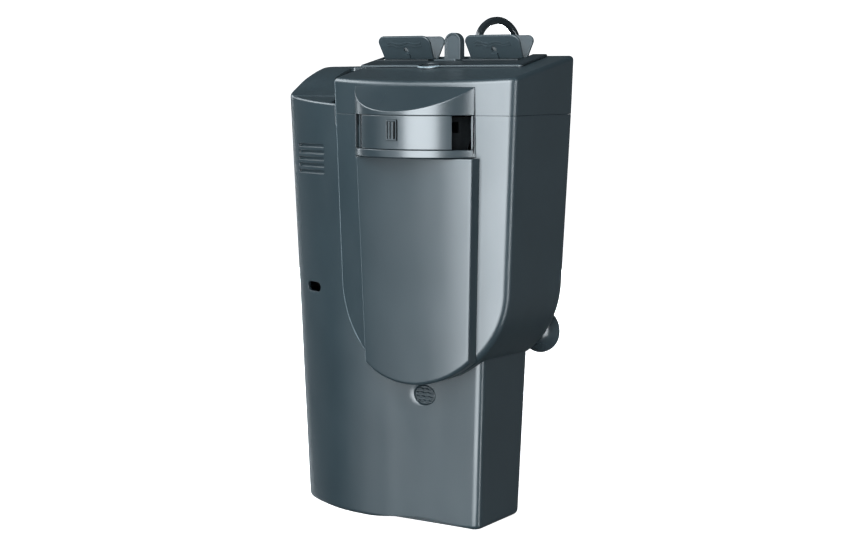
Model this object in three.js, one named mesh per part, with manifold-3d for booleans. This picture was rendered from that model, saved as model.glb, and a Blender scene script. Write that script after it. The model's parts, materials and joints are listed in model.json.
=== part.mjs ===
// In-tank aquarium filter: a tapered housing with a heater bay on its left, a hood
// over the filter chamber with a round swivelling outlet, lift-out cartridges, a foam
// column, a submersible pump and its mains lead.
// Millimetres. +X right, -Y front, +Z up. The origin is the middle of the base.

import * as THREE from 'three';
import { mergeVertices } from 'three/addons/utils/BufferGeometryUtils.js';
import Module from 'manifold-3d';

const wasm = await Module();
wasm.setup();

// ---- driving dimensions -------------------------------------------------------
const GAP = 0.3;                      // clearance between touching pieces
const WALL = 2.2;                     // moulded wall
const DRAFT = 0.033;                  // outward taper of the sides, mm per mm of height
const FRONT_DRAFT = 0.012;            // taper of the housing's front
const LEFT_DRAFT = 0.044;             // taper of the housing's left side

const HOUSING = { right: 62, back: 38.5, left: -81.83, top: 250, floor: 3, corner: 6 };
const BAY = { right: -47, divider: 2, plate: 2.6, opening: [-70, -51, 18, 40] };
const BASE_ARCH = { x: 22, width: 76, height: 3.2 };

const HOOD = {
  x: 25.1, halfWidth: 64.9, cornerY: -22, bulge: 10, lean: 0.015, frontZ: 250,
  sideDraft: 0.04, taper: 0.038, shoulderZ: 153, bottomZ: 92, seamZ: 257,
  roofZ: 279.4, roofSlope: 0.205,
};
const BARREL = {
  x: 23.5, y: -4.4, radius: 49.7, halfChord: 45.1, ringZ: 232, windowZ: 236.6,
  windowTop: 257.2, window: 60, apexTop: 259.4, topSlope: 0.706, topCurve: 0.0018,
};
const MOUTH = [-17, 64];              // the hood and housing are open behind the outlet
const SHUTTER = {
  half: 36, turn: 8, flange: 1.6, knobTurn: 0.7, knobRise: 1.5, knobWidth: 8, knobHeight: 12.3,
};
const PANEL = { rise: 9, top: [-13.3, 69.4], bottom: [-8, 66.5], gapUnderRing: 0.4, centre: 28.5 };
const LID = { left: -43.4, right: 77, front: 9.5, arms: 23, back: 43.6, proud: 1.2 };
const INSERT = { front: 25, back: 36.4, plate: [23.8, 41], plateThick: 2.4, topZ: 291 };
const CARTRIDGES = {
  left: { body: -20.2, grip: -20.2 }, right: { body: 43.6, grip: 45.8 },
  width: 37.6, plateWidth: 40, bottom: 100,
};
const FOAM = { x: 12.5, width: 15, plateWidth: 17, bottom: 160, tabWidth: 12, tabTop: 308 };
const LEAF = { y: 36, width: 39.6, thick: 1.8, height: 17, lean: 30, spread: 2.4 };
const CATCH = { x: 25, z: 82.6, width: 21, height: 14, front: -20, ribs: 5 };
const PUMP = { x: 22.9, y: -13.5, radius: 18.5, bottom: 152, motorTop: 203, volute: 20 };
const CUP = { radius: 14.8, rimY: 54.7, depth: 7, neck: 3, lip: 1.6 };
const CUPS = [[66, 118], [-62, 118], [52, 232], [-62, 232]];
const CORD = { radius: 2.5, exit: [22, 50.6, 297] };
const BOSS = { half: 5.2, back: 54.5, z: [268, 290.5] };   // cord outlet on the cap's rear
const COIL = { x: -20, y: 97, inner: 23, outer: 33, height: 19.4 };
const PLUG = { x: -57.3, y: 66.5, z: 7, length: 36, width: 35, thick: 13.7, pin: 19, pitch: 18.6 };

// ---- materials ----------------------------------------------------------------
function plastic(color, roughness = 0.4, metalness = 0) {
  return new THREE.MeshStandardMaterial({ color, roughness, metalness });
}
const slate = () => plastic(0x3c4b52, 0.36);
const slateDark = () => plastic(0x28343a, 0.42);
const gloss = () => plastic(0x6f7f88, 0.18);
const handleGrey = () => plastic(0x46545b, 0.45);
const rubber = () => plastic(0x1d2427, 0.6);
const fleece = () => plastic(0xe6e6e0, 0.95);
const foam = () => plastic(0x2b2e30, 0.95);
const ceramic = () => plastic(0xe8e4da, 0.3);
const magnet = () => plastic(0x3a3a3c, 0.5, 0.4);
const brass = () => plastic(0xc9b27a, 0.25, 0.9);

// ---- helpers ------------------------------------------------------------------
function solid(geometry) {
  const bare = geometry.clone();
  bare.deleteAttribute('normal');
  bare.deleteAttribute('uv');
  const merged = mergeVertices(bare, 1e-4);
  return new wasm.Manifold(new wasm.Mesh({
    numProp: 3,
    vertProperties: new Float32Array(merged.attributes.position.array),
    triVerts: new Uint32Array(merged.index.array),
  }));
}

function geometryOf(manifold) {
  const mesh = manifold.getMesh();
  const geometry = new THREE.BufferGeometry();
  geometry.setAttribute('position', new THREE.BufferAttribute(mesh.vertProperties, 3));
  geometry.setIndex(new THREE.BufferAttribute(mesh.triVerts, 1));
  geometry.computeVertexNormals();
  return geometry;
}

const largest = (manifold) => manifold.decompose().sort((a, b) => b.volume() - a.volume())[0];

const parts = new THREE.Group();

function add(name, shape, material) {
  const geometry = shape.isBufferGeometry ? shape : geometryOf(shape);
  const mesh = new THREE.Mesh(geometry, material);
  mesh.name = name;
  parts.add(mesh);
  return mesh;
}

function boxAt(x0, x1, y0, y1, z0, z1) {
  const geometry = new THREE.BoxGeometry(x1 - x0, y1 - y0, z1 - z0);
  return geometry.translate((x0 + x1) / 2, (y0 + y1) / 2, (z0 + z1) / 2);
}

const block = (...limits) => solid(boxAt(...limits));

function rod(radius, z0, z1, x, y, sides = 32) {
  const geometry = new THREE.CylinderGeometry(radius, radius, z1 - z0, sides);
  return geometry.rotateX(Math.PI / 2).translate(x, y, (z0 + z1) / 2);
}

// A closed skin between two outlines with the same number of points.
function loft(low, high) {
  const count = low.length;
  const points = [...low, ...high].flatMap((p) => [p.x, p.y, p.z]);
  const index = [];
  for (let i = 0; i < count; i += 1) {
    const j = (i + 1) % count;
    index.push(i, j, count + j, i, count + j, count + i);
  }
  const flat = low.map((p) => p.flat);
  for (const [a, b, c] of THREE.ShapeUtils.triangulateShape(flat, [])) {
    index.push(a, c, b, count + a, count + b, count + c);
  }
  const geometry = new THREE.BufferGeometry();
  geometry.setAttribute('position', new THREE.Float32BufferAttribute(points, 3));
  geometry.setIndex(index);
  const made = solid(geometry);
  return made.volume() > 0 ? made : solid(flipped(geometry));
}

function flipped(geometry) {
  const index = geometry.index.array;
  for (let i = 0; i < index.length; i += 3) {
    [index[i], index[i + 1]] = [index[i + 1], index[i]];
  }
  return geometry;
}

const level = (outline, z) => outline.map((p) => ({ x: p.x, y: p.y, z, flat: p }));

// The outline as a shape extruded upward from z0 to z1.
function prism(shape, z0, z1, curveSegments = 12) {
  const options = { depth: z1 - z0, bevelEnabled: false, curveSegments };
  return new THREE.ExtrudeGeometry(shape, options).translate(0, 0, z0);
}

// The outline, drawn in x and z, as a shape extruded along Y from y0 to y1.
function slab(shape, y0, y1, curveSegments = 12) {
  const options = { depth: y1 - y0, bevelEnabled: false, curveSegments };
  return new THREE.ExtrudeGeometry(shape, options).rotateX(Math.PI / 2).translate(0, y1, 0);
}

function roundedRect(x0, x1, y0, y1, r) {
  const shape = new THREE.Shape();
  shape.moveTo(x0 + r, y0);
  shape.lineTo(x1 - r, y0);
  shape.absarc(x1 - r, y0 + r, r, -Math.PI / 2, 0);
  shape.lineTo(x1, y1 - r);
  shape.absarc(x1 - r, y1 - r, r, 0, Math.PI / 2);
  shape.lineTo(x0 + r, y1);
  shape.absarc(x0 + r, y1 - r, r, Math.PI / 2, Math.PI);
  shape.lineTo(x0, y0 + r);
  shape.absarc(x0 + r, y0 + r, r, Math.PI, Math.PI * 1.5);
  return shape;
}

function disc(profile, x, y, sides = 32) {
  const points = profile.map(([r, z]) => new THREE.Vector2(r, z));
  return new THREE.LatheGeometry(points, sides).rotateX(Math.PI / 2).translate(x, y, 0);
}

function sector(inner, outer, z0, z1, half, x, y) {
  const start = -Math.PI / 2 - THREE.MathUtils.degToRad(half);
  const end = -Math.PI / 2 + THREE.MathUtils.degToRad(half);
  const shape = new THREE.Shape();
  shape.absarc(0, 0, outer, start, end);
  shape.absarc(0, 0, inner, end, start, true);
  return prism(shape, z0, z1, 20).translate(x, y, 0);
}

// ---- housing ------------------------------------------------------------------
// Plan outline of the housing at height z, moved inward by inset.
function housingOutline(z, inset = 0) {
  const right = HOUSING.right + DRAFT * z - inset;
  const back = HOUSING.back + DRAFT * z - inset;
  const left = HOUSING.left - LEFT_DRAFT * z + inset;
  const dy = inset - FRONT_DRAFT * z;
  const slide = inset - LEFT_DRAFT * z;
  const r = HOUSING.corner;
  const shape = new THREE.Shape();
  shape.moveTo(left, 14);
  shape.splineThru([
    new THREE.Vector2(-80.6 + slide, 5 + dy),
    new THREE.Vector2(-75.5 + slide * 0.9, -2.2 + dy),
    new THREE.Vector2(-58 + slide * 0.5, -11.7 + dy),
    new THREE.Vector2(-40, -18.2 + dy),
    new THREE.Vector2(-22, -20.9 + dy),
    new THREE.Vector2(-6, -20.7 + dy),
    new THREE.Vector2(10, -19.3 + dy),
    new THREE.Vector2(34, -17.5 + dy),
    new THREE.Vector2(right - 5, -15.6 + dy),
  ]);
  shape.quadraticCurveTo(right, -15.2 + dy, right, -10.2 + dy);
  shape.lineTo(right, back - r);
  shape.absarc(right - r, back - r, r, 0, Math.PI / 2);
  shape.lineTo(left + r, back);
  shape.absarc(left + r, back - r, r, Math.PI / 2, Math.PI);
  return shape.getPoints(4);
}

function housingSolid(inset, z0, z1) {
  const round = HOUSING.floor;
  if (z0 > 0) {
    return loft(level(housingOutline(z0, inset), z0), level(housingOutline(z1, inset), z1));
  }
  const foot = loft(
    level(housingOutline(0, inset + round * 0.8), z0),
    level(housingOutline(round, inset), round),
  );
  return foot.add(loft(level(housingOutline(round, inset), round),
    level(housingOutline(z1, inset), z1)));
}

// The bay's roof, side on: low at the front rim, rising and flattening to the back.
function bayRoof(drop) {
  const shape = new THREE.Shape();
  shape.moveTo(-40, 252 - drop);
  shape.lineTo(-21, 263 - drop);
  shape.splineThru([
    new THREE.Vector2(-6, 267.2 - drop),
    new THREE.Vector2(6, 272 - drop),
    new THREE.Vector2(20, 279.3 - drop),
    new THREE.Vector2(38, 285.6 - drop),
    new THREE.Vector2(52, 287.2 - drop),
  ]);
  shape.lineTo(52, 330);
  shape.lineTo(-40, 330);
  const options = { depth: 160, bevelEnabled: false, curveSegments: 5 };
  const geometry = new THREE.ExtrudeGeometry(shape, options);
  geometry.rotateX(Math.PI / 2).rotateZ(Math.PI / 2);
  return solid(geometry.translate(-120, 0, 0));
}

function housing() {
  let body = housingSolid(0, 0, 292).subtract(bayRoof(0));
  const besideHood = loft(hoodElevation(-60, -0.4), hoodElevation(60, -0.4));
  body = body.subtract(besideHood.intersect(block(-120, 120, -60, 80, HOUSING.top, 320)));
  const chamber = housingSolid(WALL, HOUSING.floor, 320);
  const wallLeft = BAY.right - BAY.divider;
  const bay = chamber.intersect(block(-120, wallLeft, -60, 80, 0, 320));
  body = body.subtract(bay.subtract(bayRoof(BAY.plate)));
  body = body.subtract(chamber.intersect(block(BAY.right, 120, -60, 80, 0, HOUSING.top + 0.5)));
  body = body.subtract(block(...BAY.opening, 262, 300));
  // surface intake louvres and the oblong flow hole, on the bay's front
  for (let i = 0; i < 5; i += 1) {
    const z = 236 - 4.1 * i;
    body = body.subtract(block(-80, -51, -40, 0, z - 0.8, z + 0.8));
  }
  const hole = roundedRect(-72.5, -58, 141, 147.3, 3.1);
  body = body.subtract(solid(slab(hole, -30, 5)));
  // passages low in the divider
  for (let i = 0; i < 4; i += 1) {
    const z = 14 + 9 * i;
    body = body.subtract(block(wallLeft - 2, BAY.right + 2, -4, 28, z, z + 5));
  }
  // the pump reaches through this cut-out in the front wall
  body = body.subtract(block(-2, 48, -60, -5, 142, 320));
  body = body.subtract(block(...MOUTH, -60, -5, 231, 320));
  // shallow arch under the front wall
  const arch = new THREE.CylinderGeometry(1, 1, 14, 40);
  arch.scale(BASE_ARCH.width / 2, 1, BASE_ARCH.height).translate(BASE_ARCH.x, -20, 0);
  body = body.subtract(solid(arch));
  body = body.subtract(catchBlock(0.4, -24, -8));
  // keyholes for the upper cups
  for (const [x, z] of CUPS.slice(2)) {
    body = body.subtract(solid(cupNeck(CUP.neck + GAP, x, z, 30, 60)));
  }
  return body;
}

function cupNeck(radius, x, z, y0, y1) {
  const neck = new THREE.CylinderGeometry(radius, radius, y1 - y0, 20);
  return neck.translate(x, (y0 + y1) / 2, z);
}

function heaterClip(z) {
  const y = 25.2;
  const ring = new THREE.Shape();
  ring.absarc(0, 0, 12.5, THREE.MathUtils.degToRad(-140), THREE.MathUtils.degToRad(140));
  ring.absarc(0, 0, 10.7, THREE.MathUtils.degToRad(140), THREE.MathUtils.degToRad(-140), true);
  const band = solid(prism(ring, z, z + 6, 20).translate(-61.5, y, 0));
  return band.add(block(-61.5 + 10.9, BAY.right - BAY.divider - GAP, y - 3, y + 3, z, z + 6));
}

// ---- hood ---------------------------------------------------------------------
function hoodHalf(z, y) {
  const flare = HOOD.sideDraft * (y - HOOD.cornerY);
  return HOOD.halfWidth + HOOD.taper * (z - HOOD.frontZ) + flare;
}

// Front elevation of the hood at depth y: straight sides into a half-round bottom.
function hoodElevation(y, inset) {
  const wide = hoodHalf(300, y) - inset;
  const half = hoodHalf(HOOD.shoulderZ, y) - inset;
  const drop = HOOD.shoulderZ - HOOD.bottomZ - inset;
  const points = [{ x: HOOD.x + wide, z: 300 }, { x: HOOD.x - wide, z: 300 }];
  const steps = 22;
  for (let i = 0; i <= steps; i += 1) {
    const a = Math.PI + (Math.PI * i) / steps;
    points.push({
      x: HOOD.x + half * Math.cos(a),
      z: HOOD.shoulderZ + drop * Math.sin(a),
    });
  }
  return points.map((p) => ({ x: p.x, y, z: p.z, flat: new THREE.Vector2(p.x, p.z) }));
}

// Plan of the hood at height z: a bulging front that widens straight to the back.
function hoodPlan(z, inset, rise = 0, back = 0) {
  const front = HOOD.cornerY + HOOD.lean * (HOOD.frontZ - z);
  const points = [];
  const steps = 18;
  const half = 78;
  const depth = HOOD.bulge * (half / HOOD.halfWidth) ** 2;
  for (let i = 0; i <= steps; i += 1) {
    const u = -1 + (2 * i) / steps;
    const y = front - HOOD.bulge + depth * u * u + inset - rise;
    points.push(new THREE.Vector2(HOOD.x + half * u, y));
  }
  const rear = HOUSING.back + DRAFT * Math.min(z, HOOD.seamZ) - back;
  points.push(new THREE.Vector2(HOOD.x + half, rear), new THREE.Vector2(HOOD.x - half, rear));
  return level(points, z);
}

// Everything behind the hood's bulging front, moved inward by inset.
function behindFront(inset, back = 0) {
  const at = (z) => hoodPlan(z, inset, 0, back);
  return loft(at(80), at(HOOD.seamZ)).add(loft(at(HOOD.seamZ), at(300)));
}

function hoodCore(inset, backInset) {
  const wedge = loft(hoodElevation(-60, inset), hoodElevation(60, inset));
  const roof = block(-120, 120, -100, 100, 0, 60);
  const tilt = THREE.MathUtils.radToDeg(Math.atan(HOOD.roofSlope));
  const lid = roof.rotate([tilt, 0, 0]).translate([0, HOOD.cornerY, HOOD.roofZ - inset]);
  return wedge.intersect(behindFront(inset, backInset)).subtract(lid);
}

const roofAt = (y) => HOOD.roofZ + HOOD.roofSlope * (y - HOOD.cornerY);

function hoodShell() {
  let shell = hoodCore(0, 0).subtract(hoodCore(WALL, WALL));
  return shell.subtract(housingSolid(-0.4, 0, HOUSING.top + 0.4));
}

function hoodLower(shell) {
  let lower = shell.intersect(block(-120, 120, -60, 80, 80, HOOD.seamZ - 0.2));
  lower = lower.subtract(block(-12, 58, -60, -10, 135, 231));
  lower = lower.subtract(block(...MOUTH, -60, -12, 230, 262));
  return largest(lower);
}

function hoodCap(shell) {
  let cap = shell.intersect(block(-120, 120, -60, 80, HOOD.seamZ + 0.2, 320));
  cap = cap.subtract(block(...MOUTH, -60, -20, 250, 262));
  // the lid covers this opening; the ledge round it carries the lid
  cap = cap.subtract(block(LID.left + 2.4, LID.right - 3, LID.front + 3, LID.back - 1, 240, 320));
  // the cord's outlet: a boss on the rear wall, open below for the lead from inside
  const [x, y] = CORD.exit;
  const { half, back, z } = BOSS;
  cap = cap.add(solid(prism(roundedRect(x - half, x + half, 42, back, 2.5), ...z, 4))
    .subtract(block(x - 9, x + 9, 40, 44.8, 250, 300)));
  cap = cap.subtract(solid(rod(3.9, 250, 320, x, y)));
  return cap.subtract(block(x - 3.3, x + 3.3, 43, y, 250, 270.5));
}

function roofPlate(x0, x1, y0, y1, low, high) {
  const shape = new THREE.Shape();
  shape.moveTo(y0, roofAt(y0) + low);
  shape.lineTo(y1, roofAt(y1) + low);
  shape.lineTo(y1, roofAt(y1) + high);
  shape.lineTo(y0, roofAt(y0) + high);
  const options = { depth: x1 - x0, bevelEnabled: false };
  const geometry = new THREE.ExtrudeGeometry(shape, options);
  return solid(geometry.rotateX(Math.PI / 2).rotateZ(Math.PI / 2).translate(x0, 0, 0));
}

function lid() {
  let plate = roofPlate(LID.left, LID.right, LID.front, LID.back, GAP, LID.proud + GAP);
  const left = CARTRIDGES.left.grip - CARTRIDGES.plateWidth / 2 - 0.6;
  const right = CARTRIDGES.right.grip + CARTRIDGES.plateWidth / 2 + 0.6;
  plate = plate.subtract(block(left, right, LID.arms, 80, 240, 330));
  const notch = new THREE.CylinderGeometry(8.5, 8.5, 60, 28).rotateX(Math.PI / 2);
  notch.scale(1, 0.35, 1).translate(10, LID.front, 290);
  plate = plate.subtract(solid(notch));
  return plate;
}

// ---- outlet -------------------------------------------------------------------
// Everything above the barrel's slanted top, which falls away a little to both sides.
function barrelCut(offset) {
  const { x, y, radius, apexTop, topSlope, topCurve } = BARREL;
  const slab = block(-90, 90, -60, 90, 0, 80);
  let above = null;
  for (const across of [-42, -28, -14, 0, 14, 28, 42]) {
    const lift = apexTop + offset + topCurve * across ** 2;
    const tilted = slab.transform([1, 0, -2 * topCurve * across, 0, 0, 1, topSlope, 0,
      0, 0, 1, 0, x, y - radius, lift, 1]);
    above = above ? above.add(tilted) : tilted;
  }
  return above;
}

function outletBarrel() {
  const { x, y, radius, ringZ, windowZ, windowTop, window, halfChord } = BARREL;
  const outer = solid(rod(radius, ringZ, 290, x, y, 72));
  let barrel = outer.subtract(barrelCut(0));
  const inner = solid(rod(radius - WALL, ringZ + WALL, 290, x, y, 72)).subtract(barrelCut(-WALL));
  barrel = barrel.subtract(inner);
  barrel = barrel.subtract(behindFront(-GAP));
  barrel = barrel.intersect(block(x - halfChord, x + halfChord, -80, 20, 0, 300));
  const opening = sector(radius - 8, radius + 4, windowZ, windowTop, window, x, y);
  return barrel.subtract(solid(opening));
}

function flowShutter() {
  const { x, y, radius, windowZ, windowTop } = BARREL;
  const swung = (made, degrees) => made.translate([-x, -y, 0]).rotate([0, 0, degrees])
    .translate([x, y, 0]);
  const face = sector(radius - WALL - 0.4, radius - 0.1, windowZ + 0.4, windowTop - 0.4,
    SHUTTER.half, x, y);
  const flange = sector(radius - WALL - 2.0, radius - WALL - 0.35, windowZ - SHUTTER.flange,
    windowTop - 0.4, SHUTTER.half, x, y);
  const door = swung(solid(face).add(solid(flange)), SHUTTER.turn);
  const apex = y - radius;
  const z = (windowZ + windowTop) / 2 + SHUTTER.knobRise;
  const half = SHUTTER.knobWidth / 2;
  const high = SHUTTER.knobHeight / 2;
  let knob = block(x - half, x + half, apex - 0.6, apex + 2, z - high, z + high)
    .subtract(block(x - half + 1.2, x + half - 1.2, apex - 3, apex + 0.35, z - high + 1.2,
      z + high - 1.2));
  for (const dx of [-1.3, 0, 1.3]) {
    const rib = block(x + dx - 0.35, x + dx + 0.35, apex - 0.5, apex + 2, z - 4.4, z + 4.4);
    knob = knob.add(rib);
  }
  return door.add(swung(knob, SHUTTER.knobTurn));
}

function frontPanel() {
  const rise = PANEL.rise;
  const top = BARREL.ringZ - PANEL.gapUnderRing;
  const body = loft(hoodPlan(80, 0, rise), hoodPlan(top, 0, rise));
  const hollow = loft(hoodPlan(79, 0, rise - WALL), hoodPlan(top - WALL, 0, rise - WALL));
  const outline = new THREE.Shape();
  const half = hoodHalf(HOOD.shoulderZ, -30);
  const drop = HOOD.shoulderZ - HOOD.bottomZ;
  const [lowLeft, lowRight] = PANEL.bottom;
  const rim = (x) => HOOD.shoulderZ - drop * Math.sqrt(1 - ((x - HOOD.x) / half) ** 2);
  outline.moveTo(PANEL.top[0], top);
  for (let i = 0; i <= 12; i += 1) {
    const x = lowLeft + ((lowRight - lowLeft) * i) / 12;
    outline.lineTo(x, rim(x));
  }
  outline.lineTo(PANEL.top[1], top);
  const cover = solid(slab(outline, -60, 0));
  const shrink = outline.getPoints().map((p) => {
    const cz = 170;
    const side = p.x < PANEL.centre ? 1 : -1;
    return new THREE.Vector2(p.x + side * WALL, p.y + (p.y < cz ? WALL : -WALL));
  });
  const room = solid(slab(new THREE.Shape(shrink), -60, 0));
  return body.intersect(cover).subtract(hollow.intersect(room)).subtract(behindFront(-GAP));
}

// ---- hood catch ---------------------------------------------------------------
function catchBlock(grow, y0, y1) {
  const { x, z, width, height } = CATCH;
  const shape = new THREE.Shape();
  shape.absellipse(x, z, width / 2 + grow, height / 2 + grow, 0, Math.PI * 2);
  return solid(slab(shape, y0, y1, 24));
}

function hoodCatch() {
  const { x, z, front, ribs } = CATCH;
  let button = catchBlock(0, front, -15.4).add(catchBlock(1.8, -15.5, -13.6));
  for (let i = 0; i < ribs; i += 1) {
    const rz = z + (i - (ribs - 1) / 2) * 2.5;
    button = button.add(block(x - 7, x + 7, front - 0.7, front + 0.3, rz - 0.5, rz + 0.5));
  }
  return button;
}

// ---- lift-out inserts ---------------------------------------------------------
// A rectangular frame: a top plate over two side rails and a foot.
function insertFrame(x, gripX, width, plateWidth, bottom) {
  const { front, back, plate, plateThick, topZ } = INSERT;
  const z = topZ - plateThick;
  const top = block(gripX - plateWidth / 2, gripX + plateWidth / 2, ...plate, z, topZ);
  const outer = block(x - width / 2, x + width / 2, front, back, bottom, z + 1);
  const half = width / 2 - 2;
  const window = block(x - half, x + half, front - 5, back + 5, bottom + 3, z - 12);
  return top.add(outer.subtract(window));
}

function cartridge(side) {
  const { body: x, grip } = CARTRIDGES[side];
  const { width, plateWidth, bottom } = CARTRIDGES;
  const { front, back, topZ, plateThick } = INSERT;
  add(`cartridge_${side}_frame`, insertFrame(x, grip, width, plateWidth, bottom), slateDark());
  const low = bottom + 3 + GAP;
  const high = topZ - plateThick - 12 - GAP;
  const half = width / 2 - 2 - GAP;
  const middle = (front + back) / 2;
  const core = 1.9;
  const pad = (y0, y1) => boxAt(x - half, x + half, y0, y1, low, high);
  add(`cartridge_${side}_fleece_front`, pad(front + 0.2, middle - core - GAP), fleece());
  add(`cartridge_${side}_fleece_rear`, pad(middle + core + GAP, back - 0.2), fleece());
  add(`cartridge_${side}_carbon`, pad(middle - core, middle + core), foam());
  for (const [end, sign] of [['front', -1], ['rear', 1]]) {
    add(`cartridge_${side}_handle_${end}`, handleLeaf(grip, LEAF.y, sign), handleGrey());
  }
}

// A thin leaf that leans away from its twin, hinged thinly at its foot.
function handleLeaf(x, y, sign) {
  const { width, thick, height, lean, spread } = LEAF;
  const half = width / 2;
  const shape = new THREE.Shape();
  shape.moveTo(-half + 1.5, 0);
  shape.lineTo(half - 1.5, 0);
  shape.lineTo(half, height - 4.5);
  shape.absarc(half - 4.5, height - 4.5, 4.5, 0, Math.PI / 2);
  shape.absarc(-half + 4.5, height - 4.5, 4.5, Math.PI / 2, Math.PI);
  shape.lineTo(-half + 1.5, 0);
  const leaf = slab(shape, -thick / 2, thick / 2, 5);
  const eyelet = new THREE.CylinderGeometry(1.5, 1.5, 10, 16).translate(0, 0, 6);
  let made = solid(leaf).subtract(solid(eyelet));
  made = made.rotate([-sign * lean, 0, 0]);
  made = made.translate([x, y + sign * spread, INSERT.topZ + 0.2]);
  return made.subtract(block(-120, 120, -60, 80, 200, INSERT.topZ + GAP));
}

function foamColumn() {
  const { x, width, plateWidth, bottom, tabWidth, tabTop } = FOAM;
  const { front, back, topZ, plateThick } = INSERT;
  const radius = tabWidth / 2;
  const tab = new THREE.Shape();
  tab.moveTo(x - radius, topZ - 1);
  tab.lineTo(x + radius, topZ - 1);
  tab.lineTo(x + radius, tabTop - radius);
  tab.absarc(x, tabTop - radius, radius, 0, Math.PI);
  tab.lineTo(x - radius, topZ - 1);
  const grip = solid(slab(tab, LEAF.y - 2.75, LEAF.y + 2.75, 12));
  add('foam_frame', insertFrame(x, x, width, plateWidth, bottom).add(grip), handleGrey());
  const half = width / 2 - 2 - GAP;
  add('bio_foam', boxAt(x - half, x + half, front + 0.2, back - 0.2,
    bottom + 3 + GAP, topZ - plateThick - 12 - GAP), foam());
}

// ---- pump ---------------------------------------------------------------------
function pump() {
  const { x, y, radius, bottom, motorTop, volute } = PUMP;
  const bore = 10;
  const well = motorTop - 42;
  const can = disc([[0, bottom], [radius, bottom], [radius, motorTop], [bore, motorTop],
    [bore, well], [0, well]], x, y, 40);
  const collar = block(x - 7, x + 7, y + radius - 1.5, y + radius + 4, bottom + 3, bottom + 14);
  const canSolid = solid(can).add(collar);
  add('motor_housing', canSolid.subtract(solid(rod(1.2, well - 3, well + 1, x, y, 12))), slateDark());

  const shaftTop = motorTop + volute - 4;
  add('pump_shaft', rod(1, well - 2.7, shaftTop, x, y, 12), ceramic());
  add('lower_bush', disc([[1.3, well + 0.3], [4, well + 0.3], [4, well + 3.3], [1.3, well + 3.3],
    [1.3, well + 0.3]], x, y, 20), rubber());
  add('magnet_rotor', disc([[1.3, well + 4], [8.6, well + 4], [8.6, motorTop - 4],
    [1.3, motorTop - 4], [1.3, well + 4]], x, y, 28), magnet());

  const hubLow = motorTop - 3.7;
  let impeller = solid(disc([[1.3, hubLow], [4, hubLow], [4, motorTop + 12],
    [1.3, motorTop + 12], [1.3, hubLow]], x, y, 24));
  for (let i = 0; i < 6; i += 1) {
    const blade = new THREE.BoxGeometry(9.6, 1.4, 8.5);
    blade.translate(3 + 9.6 / 2, 0, motorTop + 7.2).rotateZ((i * Math.PI) / 3);
    impeller = impeller.add(solid(blade.translate(x, y, 0)));
  }
  const hole = solid(rod(1.3, hubLow - 1, motorTop + 13, x, y, 24));
  add('impeller', impeller.subtract(hole), plastic(0xd8dbdc, 0.35));
  add('upper_bush', disc([[1.3, motorTop + 12.6], [4, motorTop + 12.6], [4, shaftTop - 0.4],
    [1.3, shaftTop - 0.4], [1.3, motorTop + 12.6]], x, y, 20), rubber());

  // volute cover over the impeller, open below to the inlet slots, with a front outlet
  const low = motorTop + GAP;
  const high = motorTop + volute;
  let cover = solid(disc([[radius - 2, low], [radius, low], [radius, high], [0, high],
    [0, high - 2], [radius - 2, high - 2], [radius - 2, low]], x, y, 40));
  cover = cover.add(solid(disc([[1.3, high - 4.2], [5.2, high - 4.2], [5.2, high - 1], [1.3, high - 1],
    [1.3, high - 4.2]], x, y, 20)).subtract(solid(rod(4.2, high - 6, high - 2, x, y, 20))));
  const spigot = solid(rod(6.5, high - 1, high + 14, x, y - 6, 28));
  cover = cover.add(spigot).subtract(solid(rod(5, high - 3, high + 15, x, y - 6, 28)));
  for (let i = 0; i < 8; i += 1) {
    const slot = new THREE.BoxGeometry(8, 3, 6).translate(radius, 0, low + 5);
    slot.rotateZ((i + 0.5) * (Math.PI / 4));
    cover = cover.subtract(solid(slot.translate(x, y, 0)));
  }
  add('volute_cover', cover, slateDark());
  add('outlet_nozzle', outletNozzle(), slateDark());
  for (const [i, dx] of [-12, 12].entries()) {
    add(`pump_foot_${i + 1}`, rod(4, bottom - 6, bottom - GAP, x + dx, y + 2, 16), rubber());
  }
  add('pump_shelf', pumpShelf(), slateDark());
}

// A round box that joins the pump's spigot to the swivelling outlet.
function outletNozzle() {
  const { x, y, radius, windowTop } = BARREL;
  const z0 = BARREL.ringZ + WALL + 0.4;
  const z1 = windowTop - 1;
  const outer = radius - WALL - 5;
  const shell = solid(rod(outer, z0, z1, x, y, 48)).subtract(block(-120, 120, y - 14, 80, 0, 320));
  const room = solid(rod(outer - 1.6, z0 + 1.6, z1 - 1.6, x, y, 48))
    .subtract(block(-120, 120, y - 15.6, 80, 0, 320));
  let nozzle = shell.subtract(room);
  nozzle = nozzle.subtract(solid(rod(6.5 + GAP, z0 - 1, z0 + 3, PUMP.x, PUMP.y - 6, 28)));
  const mouth = sector(outer - 4, outer + 4, z0 + 12, z1 - 3, 52, x, y);
  return nozzle.subtract(solid(mouth));
}

// A shelf across the housing's cut-out, on which the pump's feet stand.
function pumpShelf() {
  const { x, y, bottom } = PUMP;
  return block(x - 24, x + 24, y - 14, y + 20, bottom - 9, bottom - 6 - GAP);
}

// ---- suction cups -------------------------------------------------------------
function suctionCup(x, z, neckLength) {
  const { radius, rimY, depth, neck, lip } = CUP;
  const apex = rimY - depth;
  const profile = [
    [0, apex - neckLength], [neck, apex - neckLength], [neck, apex],
    [6.5, apex], [10.5, apex + 1.4], [13.6, apex + 4.2], [radius, rimY - 0.8], [radius, rimY],
    [radius - lip, rimY], [11.6, apex + 4.6], [7, apex + 2.6], [0, apex + 2.2],
  ];
  const points = profile.map(([r, h]) => new THREE.Vector2(r, h));
  return new THREE.LatheGeometry(points, 24).translate(x, 0, z);
}

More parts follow.
